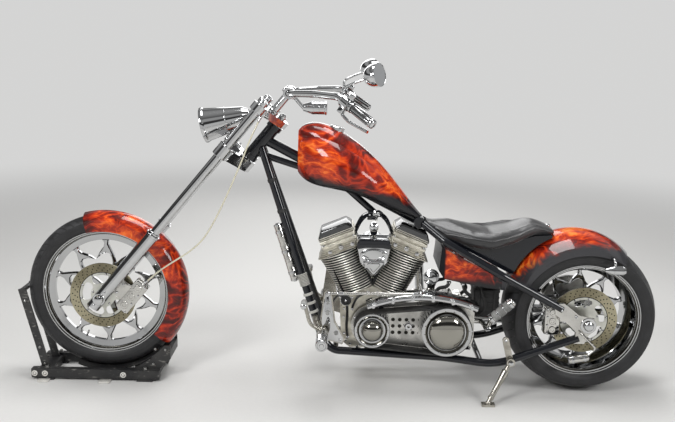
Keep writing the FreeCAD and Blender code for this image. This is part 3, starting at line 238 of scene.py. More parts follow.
def chrome_finish(name, chrome, tone, hazed, low, spread, bands=()):
    """Chrome with bands of painted shade and painted reflection, each given by its axle, two radii, colour and
    roughness.
    """
    finish = Finish(name, Metallic=1.0)
    haze = finish.noise(7, 4).ramped(0.45, 0.8)
    colour = finish.blend(haze, shaded(chrome, tone), shaded(chrome, hazed * tone))
    rough = low + spread * haze
    # each band paints its colour over the chrome as painted shade or painted reflection
    for centre, inner, outer, shade, dull in bands:
        distance = finish.round_axle(centre)[0]
        mask = distance.above(inner) * distance.below(outer)
        colour = finish.blend(mask, colour, shade)
        rough = rough + dull * mask
    finish.set(Base_Color=colour, Roughness=rough)
    finish.bump(finish.noise(60, 2), 0.0004, 0.08)


def worn_finish(name, patches, clean, worn, rough, grain, **constants):
    """A finish in two shades: its patches are (scale, detail, low, high), its grain (scale, depth, strength)."""
    finish = Finish(name, **constants)
    scale, detail, low, high = patches
    patch = finish.noise(scale, detail).ramped(low, high)
    finish.set(Base_Color=finish.blend(patch, clean, worn), Roughness=rough[0] + rough[1] * patch)
    finish.bump(finish.noise(grain[0], 2), *grain[1:])


def polished_finish(colours):
    finish = Finish("polished_aluminium", Metallic=1.0)
    streaks = finish.noise(40, 3, finish.moved((0, 0, 0), (0.3, 1, 6)))
    patches = finish.noise(9, 4).ramped(0.4, 0.75)
    finish.set(
        Base_Color=finish.blend(patches, tuple(colours.aluminium), shaded(colours.aluminium, 0.84)),
        Roughness=0.1 + 0.12 * patches + 0.1 * streaks)
    finish.bump(finish.noise(16, 2) * 0.01 + streaks * 0.0001, 1.0, 1.0)


def black_paint(name, colour, rough, coat):
    finish = Finish(name, Coat_Roughness=0.04, Specular_IOR_Level=0.05)
    dust = finish.noise(11, 5).ramped(0.5, 0.85)
    finish.set(
        Base_Color=finish.blend(dust, colour, tuple(value + 0.012 for value in colour)),
        Roughness=rough + 0.12 * dust, Coat_Weight=coat - 0.3 * coat * dust)
    finish.bump(finish.noise(350, 2), 0.0003, 0.12)


def flame_finish(colours):
    """Airbrushed licks of flame in a warm candy coat over a dark base."""
    finish = Finish("flame_paint", Coat_Roughness=0.03, Coat_IOR=1.38, Specular_IOR_Level=0.1)
    x, _, z = finish.axes()
    blots = finish.node("TexNoise", inputs={"Vector": finish.place, "Scale": 5.5, "Detail": 2}).outputs["Color"]
    swirl = finish.node("VectorMath", {"operation": "SCALE"}, {0: blots, "Scale": 0.16}).outputs[0]
    warped = finish.node("VectorMath", {"operation": "ADD"}, {0: finish.place, 1: swirl}).outputs[0]
    stretched = finish.node("Mapping", inputs={
        "Vector": warped, "Rotation": (0, 0.55, 0), "Scale": (0.62, 1, 1.25)}).outputs[0]
    coarse = finish.noise(10, 2, stretched, 0.8)
    fine = finish.noise(23, 3, stretched, 1.4)
    licks = (1.0 - abs(coarse - 0.5) * 7.0).most(0.0) ** 1.6
    wisps = (1.0 - abs(fine - 0.5) * 8.0).most(0.0) ** 2.0
    cloud = finish.noise(4.2, 3, warped).ramped(0.34, 0.66)
    on_front = x.below(-0.6)
    behind = (0.66 - z).ramped(0.0, 0.3) * on_front
    base_heat = 0.24 + 0.34 * cloud - 0.2 * behind * cloud - 0.07 * on_front
    # painted shade: the flames are dimmer low down under the seat, on the oil tank
    low_front_shade = (x - 0.4).ramped(0.0, 0.05) * (0.68 - z).ramped(0.0, 0.04) * x.below(0.78)
    base_heat -= (0.3 - 0.16 * cloud) * low_front_shade
    heat = (base_heat + 0.36 * licks + 0.2 * wisps * (0.35 + 0.65 * cloud)).least(1.0)
    fire = finish.ramp(heat, [
        (0.0, (0.01, 0.004, 0.004)), (0.26, (0.055, 0.006, 0.004)), (0.42, tuple(colours.flame_deep)),
        (0.62, tuple(colours.flame)), (0.84, tuple(colours.flame_light)), (1.0, (0.88, 0.24, 0.035))])
    # the tank's underside is painted darker as painted shade, the rear fender's lower band and tail fade into the dark
    # grey base, and the oil tank is painted darker as painted shade
    underside = 0.889 - 0.19 * x - 0.62 * x * x
    on_tank = z.above(0.735) * x.below(0.4) * x.above(-0.2)
    reach_up = 0.016 + 0.03 * x.ramped(0.14, 0.34) + 0.07 * (coarse - 0.5)
    tank_underside_shade = (underside + reach_up - z).ramped(-0.034, 0.0) * on_tank
    wheel_x, wheel_z = x - REAR_AXLE.x, z - REAR_AXLE.z
    reach = (wheel_x * wheel_x + wheel_z * wheel_z) ** 0.5
    on_rear = x.above(0.72) * z.above(0.45)
    rear_fade = (0.352 - reach + 0.05 * (fine - 0.5)).ramped(-0.008, 0.022) * on_rear
    tail_fade = (x - 1.15 + 0.2 * (0.66 - z)).ramped(0.0, 0.09) * (0.668 - z).ramped(-0.02, 0.03) * on_rear
    # painted shade on the oil tank: darker at its lower, top and rear edges, and along its front edge, which also
    # loses its coat
    on_oil = x.above(0.44) * x.below(0.75) * z.below(0.65)
    oil_tank_shade = (0.512 - 0.1 * (x - 0.455) - z + 0.05 * (coarse - 0.5)).ramped(-0.03, 0.01)
    oil_top_shade = (z + 0.5 * (x - 0.481) - 0.632 + 0.08 * (coarse - 0.5)).ramped(-0.012, 0.022)
    oil_tank_shade = oil_tank_shade.most(oil_top_shade).most((x - 0.655 + 0.2 * (fine - 0.5)).ramped(0.0, 0.07)) * on_oil
    oil_front_shade = (0.478 - x).ramped(0.0, 0.01) * on_oil
    # dark gathers the painted shade of the tank's underside and the oil tank, and the rear fender's dark grey paint
    dark = tank_underside_shade.most(rear_fade).most(tail_fade).most(oil_tank_shade).most(oil_front_shade)
    base = finish.blend(on_rear, (0.01, 0.01, 0.012), (0.04, 0.04, 0.044))
    finish.set(
        Base_Color=finish.blend(dark, fire, base), Roughness=0.24 + 0.1 * coarse, Coat_Weight=1.0 - 0.9 * oil_front_shade)
    finish.bump(finish.noise(260, 2), 0.0002, 0.06)


def leather_finish(colours):
    finish = Finish("seat_leather", Sheen_Weight=0.16, Sheen_Roughness=0.4, Specular_IOR_Level=0.6)
    pores = finish.cells(620, "F1")
    creases = finish.cells(210, "DISTANCE_TO_EDGE").ramped(0.0, 0.12)
    rubbed = finish.noise(9, 4).ramped(0.45, 0.75)
    finish.set(
        Base_Color=finish.blend(rubbed, tuple(colours.leather), shaded(colours.leather, 1.9)),
        Roughness=0.31 + 0.12 * rubbed + 0.05 * pores)
    finish.bump(pores * 0.5 + creases * 0.6, 0.0005, 0.25)


def tyre_finish(name, centre, radius, half_width, flange, colours):
    """Ribbed sidewalls and a grooved tread with grey dust in it; the grooves are painted near black as painted shade.
    """
    finish = Finish(name, Specular_IOR_Level=0.45)
    distance, turn, y = finish.round_axle(centre)
    across = abs(y) / half_width
    tread = (distance - (radius - 0.03)).ramped(0.0, 0.006)
    bars = 58.0
    slant = (turn * bars + across * 1.9).fraction()
    grooves = slant.below(0.16) * across.above(0.12) * tread
    centre_groove = abs(across - 0.3).below(0.018) * tread
    cut = grooves.most(centre_groove)
    ribs = ((distance - flange) * 300.0).math("SINE").above(0.82) * (1.0 - tread)
    ridge = abs(distance - (flange + 0.022)).below(0.0022).most(abs(distance - (flange + 0.04)).below(0.0016))
    ridge = ridge.most(abs(distance - (flange + 0.008)).below(0.0014))
    dust = finish.noise(26, 4).ramped(0.35, 0.75)
    worn = dust * (0.25 + 0.75 * tread)
    base = finish.blend(worn, tuple(colours.rubber), shaded(colours.rubber, 2.8))
    # painted shade: the tread's grooves are painted near black
    finish.set(Base_Color=finish.blend(cut, base, (0.008, 0.008, 0.008)), Roughness=0.45 + 0.25 * worn)
    finish.bump(0.6 * ribs + 1.4 * ridge - cut * 1.6 + 0.25 * finish.noise(420, 2), 0.002, 0.8)


def disc_finish(name, centre, inner):
    """A ground steel ring with three rings of drilled holes painted dark as painted shade, on a pale carrier, with two
    lighter sectors painted as a highlight.
    """
    finish = Finish(name, Metallic=1.0)
    distance, turn = finish.round_axle(centre)[:2]
    count, hole, holes = 30.0, 0.0028, None
    for level, step in ((0.114, 0.0), (0.1245, 0.33), (0.135, 0.66)):
        along = ((turn * count + step).fraction() - 0.5) * (math.tau / count)
        spot = ((along * distance) ** 2.0 + (distance - level) ** 2.0) ** 0.5
        mask = spot.below(hole)
        holes = mask if holes is None else holes.most(mask)
    lines = (distance * 5200.0).math("SINE")
    track = distance.above(inner)
    seam = abs(distance - inner).below(0.0016)
    stain = finish.noise(18, 4).ramped(0.35, 0.75)
    # painted highlight: two lighter sectors round the disc, for the reflection in its ground face
    sweep = (turn * math.tau * 2 + 0.8).math("SINE").ramped(-0.6, 1.0)
    brown = finish.blend(stain, (0.25, 0.225, 0.15), (0.18, 0.162, 0.11))
    steel = finish.blend(sweep, brown, (0.42, 0.385, 0.27))
    carrier = finish.blend(stain, (0.66, 0.66, 0.61), (0.46, 0.46, 0.42))
    ring_colour = finish.blend(track, carrier, steel)
    # dark: the holes' painted shade and the seam, a dark joint
    dark = holes.most(seam)
    finish.set(
        Base_Color=finish.blend(dark, ring_colour, (0.03, 0.028, 0.022)),
        Roughness=0.3 + 0.05 * lines * track + 0.35 * dark)
    finish.bump(0.05 * lines * track - 1.5 * dark, 0.0012, 0.6)


def rubber_finish(name, colour, scale, rough):
    grimy = tuple(value * 2.2 + 0.004 for value in colour)
    worn_finish(name, (22, 4, 0.4, 0.8), colour, grimy, (rough, 0.12), (scale, 0.0006, 0.4))


def belt_finish():
    """Belt edges with the ends of the teeth showing."""
    finish = Finish("belt_rubber")
    x, _, z = finish.axes()
    teeth_per_metre = 125.0
    teeth = ((x + z * 0.5) * teeth_per_metre).fraction().below(0.55)
    grime = finish.noise(30, 3).ramped(0.4, 0.8)
    finish.set(
        Base_Color=finish.blend(grime, (0.014, 0.014, 0.014), (0.05, 0.048, 0.045)), Roughness=0.62 + 0.12 * grime)
    finish.bump(teeth, 0.0015, 0.7)


def plate_finish(colours):
    """The primary plate, drilled with rows of lightening holes between the pulleys, which are painted near black as
    painted shade.
    """
    finish = Finish("primary_plate", Metallic=1.0)
    x, _, z = finish.axes(finish.moved(CRANK))
    holes_per_metre = 34.0
    columns = (x * holes_per_metre + 0.35).fraction() - 0.5
    rows = (z * holes_per_metre + 0.5).fraction() - 0.5
    spot = (columns * columns + rows * rows) ** 0.5
    between = x.above(0.084) * x.below(0.205) * abs(z).below(0.043)
    # painted shade in the holes
    holes = (0.3 - spot).ramped(0.0, 0.05) * between
    stain = finish.noise(20, 4).ramped(0.35, 0.75)
    metal = finish.blend(stain, shaded(colours.aluminium, 0.9), shaded(colours.aluminium, 0.6))
    finish.set(
        Base_Color=finish.blend(holes, metal, (0.05, 0.048, 0.042)), Roughness=0.24 + 0.2 * stain + 0.3 * holes)
    finish.bump(1.0 - holes, 0.003, 0.8)


def hose_finish():
    """A clear sleeve over pale braid."""
    finish = Finish("hose_braid", Coat_Weight=1.0, Coat_Roughness=0.08)
    x, _, z = finish.axes()
    braid = 900.0
    weave = ((x + z) * braid).math("SINE") * ((x - z) * braid).math("SINE")
    finish.set(
        Base_Color=finish.blend(weave.ramped(-0.5, 0.6), (0.52, 0.48, 0.34), (0.78, 0.75, 0.6)), Roughness=0.34)
    finish.bump(weave, 0.0003, 0.35)


def lens_finish():
    finish = Finish("lens_glass", Transmission_Weight=1.0, IOR=1.48, Roughness=0.03, Base_Color=(0.96, 0.97, 0.98))
    finish.bump((finish.axes()[1] * 520.0).math("SINE"), 0.0006, 0.25)


def chock_finish():
    finish = Finish("chock_black")
    scuffs = finish.noise(34, 5, finish.moved((0, 0, 0), (1, 1, 3))).ramped(0.6, 0.72)
    dust = finish.noise(8, 4).ramped(0.4, 0.8)
    base = finish.blend(dust, (0.016, 0.016, 0.017), (0.045, 0.044, 0.042))
    finish.set(Base_Color=finish.blend(scuffs * 0.7, base, (0.26, 0.25, 0.23)), Roughness=0.38 + 0.2 * dust)
    finish.bump(finish.noise(520, 2) - 0.4 * scuffs, 0.0006, 0.35)


def small_finishes():
    dark = Finish("void_black", Base_Color=(0.004, 0.004, 0.004))
    dark.set(Roughness=0.7 + 0.1 * dark.noise(40))
    # the mirror glass is a dark grey, a painted dark reflection
    glass = Finish("mirror_glass", Metallic=1.0, Base_Color=(0.34, 0.35, 0.36))
    glass.set(Roughness=0.012 + 0.02 * glass.noise(15))
    for name, scale, first, second, rough, coat in (
            ("signal_lens", 30, (0.74, 0.73, 0.7), (0.6, 0.58, 0.53), 0.12, 0.03),
            ("dial_face", 40, (0.8, 0.79, 0.75), (0.74, 0.73, 0.69), 0.3, 0.02),
            ("red_lens", 60, (0.5, 0.01, 0.008), (0.32, 0.006, 0.005), 0.15, 0.03)):
        gloss = Finish(name, Coat_Weight=1.0, Coat_Roughness=coat)
        gloss.set(Base_Color=gloss.blend(gloss.noise(scale), first, second), Roughness=rough)
    shell = Finish("reflector", Metallic=1.0, Base_Color=(0.9, 0.9, 0.88))
    _, y, z = shell.axes()
    shell.set(Roughness=0.06 + 0.05 * shell.noise(20))
    shell.bump((y * 300.0).math("SINE") * (z * 300.0).math("SINE"), 0.001, 0.3)
    sleeve = Finish("pale_rubber")
    sleeve.set(
        Base_Color=sleeve.blend(sleeve.noise(50, 4), (0.62, 0.61, 0.57), (0.42, 0.41, 0.38)), Roughness=0.42)
    sleeve.bump(sleeve.noise(500, 2), 0.0004, 0.3)


def radius_of(name):
    """Half of a node's length, which is its radius when it is round."""
    low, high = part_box(name)
    return (high.x - low.x) / 2


def all_finishes(colours):
    chrome_finish("chrome", colours.chrome, 1.0, 0.88, 0.035, 0.075)
    chrome_finish("rocker_grey", colours.chrome, 0.22, 0.88, 0.1, 0.1)
    # painted shade: a dark band in each pulley's recessed ring and in two rings of each rim; painted reflection: a
    # darker amber grey on the pulleys' domes, for the dark reflections in them
    painted_shade_band, dome = (0.1, 0.095, 0.08), (0.34, 0.33, 0.295)
    pulley_painted_bands, rim_painted_shade_bands = [], []
    for (centre, radius), hub in zip(PULLEYS, (0.045, 0.077)):
        pulley_painted_bands += [(centre, radius * 0.79, radius * 0.9, painted_shade_band, 0.16), (centre, -1.0, hub, dome, 0.02)]
    chrome_finish("pulley_chrome", colours.chrome, 0.9, 0.86, 0.03, 0.05, pulley_painted_bands)
    for name, centre in AXLES.items():
        flange = radius_of(name + "_rim")
        rim_painted_shade_bands += [
            (centre, flange - 0.0175, flange - 0.0128, painted_shade_band, 0.16),
            (centre, flange - 0.0068, flange - 0.0048, painted_shade_band, 0.16)]
        half_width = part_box(name + "_tyre")[1].y
        tyre_finish(name + "_tyre", centre, radius_of(name + "_tyre"), half_width, flange, colours)
        disc_finish(name + "_disc", centre, 0.104)
    # the wheels' chrome is a darker copy of the chrome, a painted dark reflection, with two rings of painted shade
    # near each flange
    chrome_finish("chrome_wheel", colours.chrome, 0.82, 0.86, 0.03, 0.05, rim_painted_shade_bands)
    for name, patches, clean, worn, rough, grain, metallic in (
            ("cast_aluminium", (14, 5, 0.42, 0.72), (0.74, 0.71, 0.62), (0.5, 0.47, 0.4),
             (0.33, 0.16), (700, 0.0006, 0.5), 1.0),
            ("fin_aluminium", (30, 4, 0.35, 0.8), (0.03, 0.03, 0.03), (0.014, 0.014, 0.014),
             (0.5, 0.2), (500, 0.0005, 0.4), 0.85),
            ("fin_edges", (60, 3, 0.3, 0.8), (0.86, 0.84, 0.78), (0.62, 0.6, 0.54),
             (0.3, 0.15), (400, 0.0003, 0.3), 1.0),
            ("head_aluminium", (32, 4, 0.35, 0.8), (0.76, 0.73, 0.64), (0.5, 0.47, 0.4),
             (0.3, 0.16), (600, 0.0004, 0.35), 0.9),
            ("nickel", (24, 4, 0.35, 0.75), (0.5, 0.48, 0.43), (0.34, 0.32, 0.28),
             (0.2, 0.18), (420, 0.0004, 0.3), 1.0),
            ("drive_steel", (25, 4, 0.35, 0.75), (0.45, 0.45, 0.44), (0.2, 0.19, 0.18),
             (0.26, 0.22), (300, 0.0004, 0.3), 1.0)):
        worn_finish(name, patches, clean, worn, rough, grain, Metallic=metallic)
    rubber_finish("grip_rubber", (0.014, 0.014, 0.014), 500, 0.5)
    rubber_finish("peg_rubber", (0.2, 0.2, 0.195), 400, 0.42)
    black_paint("frame_black", (0.006, 0.007, 0.01), 0.1, 1.0)
    polished_finish(colours)
    plate_finish(colours)
    flame_finish(colours)
    leather_finish(colours)
    belt_finish()
    hose_finish()
    lens_finish()
    chock_finish()
    small_finishes()


OWN_FINISH = {
    "front_tyre": "front_tyre", "rear_tyre": "rear_tyre", "front_disc": "front_disc", "rear_disc": "rear_disc",
    "primary_plate": "primary_plate", "side_stand": "nickel", "stand_bracket": "nickel", "foot_controls": "nickel"}


def finish_nodes():
    """Gives every node of the frame the finish of its material slot."""
    for row in frame["record"]["subparts"]:
        name = row["node"]
        finish = FINISHES[OWN_FINISH.get(name, row["material_slot"])]
        mesh = frame["nodes"][name].data
        mesh.materials.clear()
        mesh.materials.append(finish)


# ---- shapes ----

def shift(x, y, z):
    return Matrix.Translation((x, y, z))


def up(z):
    return shift(0, 0, z)


def spun(turn, axis="Z"):
    return Matrix.Rotation(turn, 4, axis)


def placed(name, data):
    """A new object in the scene."""
    made = bpy.data.objects.new(name, data)
    bpy.context.scene.collection.objects.link(made)
    return made


def evaluated(made):
    """An object's mesh with its modifiers applied."""
    graph = bpy.context.evaluated_depsgraph_get()
    return bpy.data.meshes.new_from_object(made.evaluated_get(graph))


def meshed(name, shape):
    """A new mesh of a shape, which is freed."""
    mesh = bpy.data.meshes.new(name)
    shape.to_mesh(mesh)
    shape.free()
    return mesh


def opened(mesh):
    """A mesh's geometry as a shape."""
    shape = bmesh.new()
    shape.from_mesh(mesh)
    return shape


def at(point, direction):
    """Moves a shape drawn up +Z to a point, with its Z along a direction."""
    turn = Vector((0, 0, 1)).rotation_difference(Vector(direction))
    return Matrix.Translation(Vector(point)) @ turn.to_matrix().to_4x4()


def tidy(shape):
    bmesh.ops.remove_doubles(shape, verts=shape.verts, dist=1e-5)
    bmesh.ops.recalc_face_normals(shape, faces=shape.faces)
    return shape


def lathe(profile, steps, closed=False):
    """Spins rows of (distance from the axis, height) about Z."""
    shape = bmesh.new()
    verts = [shape.verts.new((distance, 0, height)) for distance, height in profile]
    pairs = list(zip(verts, verts[1:])) + ([(verts[-1], verts[0])] if closed else [])
    edges = [shape.edges.new(pair) for pair in pairs]
    bmesh.ops.spin(
        shape, geom=verts + edges, cent=(0, 0, 0), axis=(0, 0, 1), angle=math.tau, steps=steps, use_merge=True)
    return tidy(shape)


def rounded(shape, width, segments=2, sharp=0.6):
    """Bevels the edges that turn more than sharp radians."""
    edges = [edge for edge in shape.edges if edge.calc_face_angle(0) > sharp]
    bmesh.ops.bevel(
        shape, geom=edges, offset=width, segments=segments, profile=0.5, affect="EDGES", material=-1,
        clamp_overlap=True)
    return shape


def rod(radius, length, sides, bevel=0.0):
    shape = bmesh.new()
    bmesh.ops.create_cone(
        shape, cap_ends=True, segments=sides, radius1=radius, radius2=radius, depth=length)
    bmesh.ops.translate(shape, verts=shape.verts, vec=(0, 0, length / 2))
    return rounded(shape, bevel) if bevel else shape


def block(size, bevel, segments):
    shape = bmesh.new()
    bmesh.ops.create_cube(shape, size=1)
    bmesh.ops.scale(shape, verts=shape.verts, vec=size)
    return rounded(shape, bevel, segments)


def slab(outline, thickness, bevel, segments=2):
    """A plate from an outline in X and Y, from Z 0 up."""
    shape = bmesh.new()
    face = shape.faces.new([shape.verts.new((x, y, 0)) for x, y in outline])
    raised = bmesh.ops.extrude_face_region(shape, geom=[face])
    top = [item for item in raised["geom"] if isinstance(item, bmesh.types.BMVert)]
    bmesh.ops.translate(shape, verts=top, vec=(0, 0, thickness))
    tidy(shape)
    return rounded(shape, bevel, segments) if bevel else shape


def ridged(outline, thickness, width, height):
    """A plate whose two faces rise towards their middle."""
    shape = slab(outline, thickness, 0)
    for face in [face for face in shape.faces if abs(face.normal.z) > 0.9]:
        bmesh.ops.inset_individual(shape, faces=[face], thickness=width, depth=height, use_even_offset=True)
    return shape


def ring(radius, thickness, steps, sides):
    profile = [
        (radius + thickness * math.cos(math.tau * i / sides), thickness * math.sin(math.tau * i / sides))
        for i in range(sides)]
    return lathe(profile, steps, closed=True)


def band(inner, outer, height, bevel=0.001, steps=40):
    """A flat ring with eased edges, from Z 0 up."""
    return lathe([
        (inner, 0), (outer - bevel, 0), (outer, bevel), (outer, height - bevel), (outer - bevel, height),
        (inner, height)], steps, closed=True)


def dome_bolt(radius, height):
    return lathe([
        (0, height), (radius * 0.45, height * 0.95), (radius * 0.8, height * 0.7), (radius, height * 0.2),
        (radius, -0.002), (0, -0.002)], 16)


def hex_bolt(radius, height):
    shape = rod(radius, height + 0.002, 6, radius * 0.12)
    bmesh.ops.translate(shape, verts=shape.verts, vec=(0, 0, -0.002))
    return shape


def cap_nut(radius, height):
    """A hexagon with a domed top."""
    shape = hex_bolt(radius, height * 0.5)
    add(shape, lathe([
        (0, height), (radius * 0.4, height * 0.95), (radius * 0.7, height * 0.75), (radius * 0.8, height * 0.45),
        (0, height * 0.45)], 18))
    return shape


def add(shape, part, place=Matrix()):
    """Adds a part to a shape and frees the part."""
    holder = meshed("holder", part)
    holder.transform(place)
    if place.determinant() < 0:
        holder.flip_normals()
    shape.from_mesh(holder)
    bpy.data.meshes.remove(holder)
    return shape


def pipe(points, radius, sides, order=3):
    """A tube along a smooth line through the object, as a shape."""
    curve = line_curve("line", points, radius, order)
    curve.bevel_resolution = sides // 4 - 1
    holder = placed("line", curve)
    bpy.context.view_layer.update()
    mesh = evaluated(holder)
    shape = opened(mesh)
    bpy.data.objects.remove(holder)
    bpy.data.curves.remove(curve)
    bpy.data.meshes.remove(mesh)
    return tidy(shape)


def line_curve(name, points, radius, order=3):
    curve = bpy.data.curves.new(name, "CURVE")
    curve.dimensions = "3D"
    curve.bevel_depth = radius
    curve.resolution_u = 10
    curve.use_fill_caps = True
    spline = curve.splines.new("NURBS")
    spline.points.add(len(points) - 1)
    for spot, point in zip(spline.points, points):
        spot.co = (*point, 1)
    spline.order_u = order
    spline.use_endpoint_u = True
    return curve


def piece(name, shape, body, slot, *finishes, sharp=35.0, replaces=()):
    """Makes a shape an object at the origin that rides on a body, in its slot's finish or others."""
    for face in shape.faces:
        face.smooth = True
    limit = math.radians(sharp)
    for edge in shape.edges:
        edge.smooth = edge.calc_face_angle(0) < limit
    mesh = meshed(name, shape)
    for finish in finishes or (slot,):
        mesh.materials.append(FINISHES[finish])
    made = placed(name, mesh)
    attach(made, body)
    if replaces:
        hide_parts(*replaces)


def on_both_sides(shape):
    """The shape with its mirror image across the middle plane."""
    whole = add(bmesh.new(), shape.copy())
    return add(whole, shape, Matrix.Scale(-1, 4, (0, 1, 0)))


def ring_of(make, count, radius, start=0.0):
    """Copies of a small shape in a ring about Z."""
    whole = bmesh.new()
    for i in range(count):
        turn = start + math.tau * i / count
        add(whole, make(), shift(radius * math.cos(turn), radius * math.sin(turn), 0))
    return whole


# half of a forked wheel blade: share of the way from hub to rim, degrees from its middle
HALF_BLADE = [
    (0, -22), (0.2, -12), (0.36, -6.5), (0.5, -6.5), (0.6, -9.5), (0.68, -13), (0.7, -18), (0.67, -25),
    (0.585, -35), (0.68, -30), (0.76, -25), (0.83, -21), (0.9, -20), (0.96, -21), (1, -24), (1, -13),
    (0.96, -15.2), (0.88, -15.4), (0.78, -12), (0.64, -6), (0.5, 0)]
BLADE = HALF_BLADE + [(share, -degrees) for share, degrees in reversed(HALF_BLADE[:-1])]


def upright(y):
    """Stands a slab up: its Y becomes height and it runs towards the left side from y."""
    return shift(0, y, 0) @ spun(math.pi / 2, "X")


def leaning(side):
    """The frame of the front (-1) or rear (1) cylinder, with Z along its axis."""
    return Matrix.Translation(CRANK) @ spun(side * HALF_V, "Y")


def rounded_block(size, corner, bevel):
    """A block with its upright edges rounded most."""
    shape = bmesh.new()
    bmesh.ops.create_cube(shape, size=1)
    bmesh.ops.scale(shape, verts=shape.verts, vec=size)
    upright_edges = [edge for edge in shape.edges if abs((edge.verts[0].co - edge.verts[1].co).z) > size[2] / 2]
    bmesh.ops.bevel(
        shape, geom=upright_edges, offset=corner, segments=4, profile=0.5, affect="EDGES", material=-1)
    return rounded(shape, bevel, 2, 1.2)


# ---- sizes and colours ----

class ChopperSizes(bpy.types.PropertyGroup):
    """Sizes of the trim"""
    fin_count: IntProperty(name="Fins", description="Cooling fins on each barrel", default=17, min=4, max=30)
    fin_thickness: FloatProperty(
        name="Fin Thickness", description="Thickness of a cooling fin", default=0.0046, unit="LENGTH")
    fin_radius: FloatProperty(
        name="Fin Radius", description="Distance of a fin's edge from the barrel's axis", default=0.09,
        unit="LENGTH")
    core_radius: FloatProperty(
        name="Core Radius", description="Radius of the barrel between its fins", default=0.066, unit="LENGTH")
    seat_voxel: FloatProperty(
        name="Seat Grid", description="Grid that the seat is rebuilt on", default=0.006, unit="LENGTH")
    seat_swell: FloatProperty(
        name="Seat Swell", description="Most that the seat's cover may move when it is filled", default=0.009,
        unit="LENGTH")
    piping: FloatProperty(
        name="Piping", description="Radius of the piping round the seat", default=0.0028, unit="LENGTH")
    hose_diameter: FloatProperty(
        name="Hose Diameter", description="Diameter of the front brake hose", default=0.007, unit="LENGTH")
    hose_length: FloatProperty(
        name="Hose Length", description="Length of the front brake hose", default=0.935, unit="LENGTH")


class ChopperColours(bpy.types.PropertyGroup):
    """Colours of the finishes"""
    chrome: FloatVectorProperty(
        name="Chrome", description="Colour of the chrome", subtype="COLOR", default=(0.58, 0.585, 0.59), min=0, max=1)
    aluminium: FloatVectorProperty(
        name="Aluminium", description="Colour of the bare aluminium", subtype="COLOR",
        default=(0.62, 0.61, 0.58), min=0, max=1)
    rubber: FloatVectorProperty(
        name="Tyres", description="Colour of the tyres", subtype="COLOR", default=(0.016, 0.016, 0.017),
        min=0, max=1)
    leather: FloatVectorProperty(
        name="Seat", description="Colour of the seat's leather", subtype="COLOR",
        default=(0.03, 0.03, 0.031), min=0, max=1)
    flame_deep: FloatVectorProperty(
        name="Deep Flame", description="Darkest red of the flames", subtype="COLOR",
        default=(0.16, 0.008, 0.004), min=0, max=1)
    flame: FloatVectorProperty(
        name="Flame", description="Main colour of the flames", subtype="COLOR",
        default=(0.46, 0.03, 0.006), min=0, max=1)
    flame_light: FloatVectorProperty(
        name="Light Flame", description="Bright licks of the flames", subtype="COLOR",
        default=(0.78, 0.105, 0.012), min=0, max=1)


class ChopperCamera(bpy.types.PropertyGroup):
    """Where the camera stands"""
    place: FloatVectorProperty(
        name="Place", description="Where the camera stands", subtype="TRANSLATION", unit="LENGTH",
        default=(0.031, -3.605, 1.519))
    heading: FloatProperty(
        name="Heading", description="Turn to the right", default=-0.008, unit="ROTATION")
    down: FloatProperty(name="Down", description="Tilt down", default=0.204, unit="ROTATION")
    roll: FloatProperty(name="Roll", description="Roll of the view", default=0.019, unit="ROTATION")
    lens: FloatProperty(name="Lens", description="Focal length in millimetres", default=44.547, unit="CAMERA")


# ---- operators ----

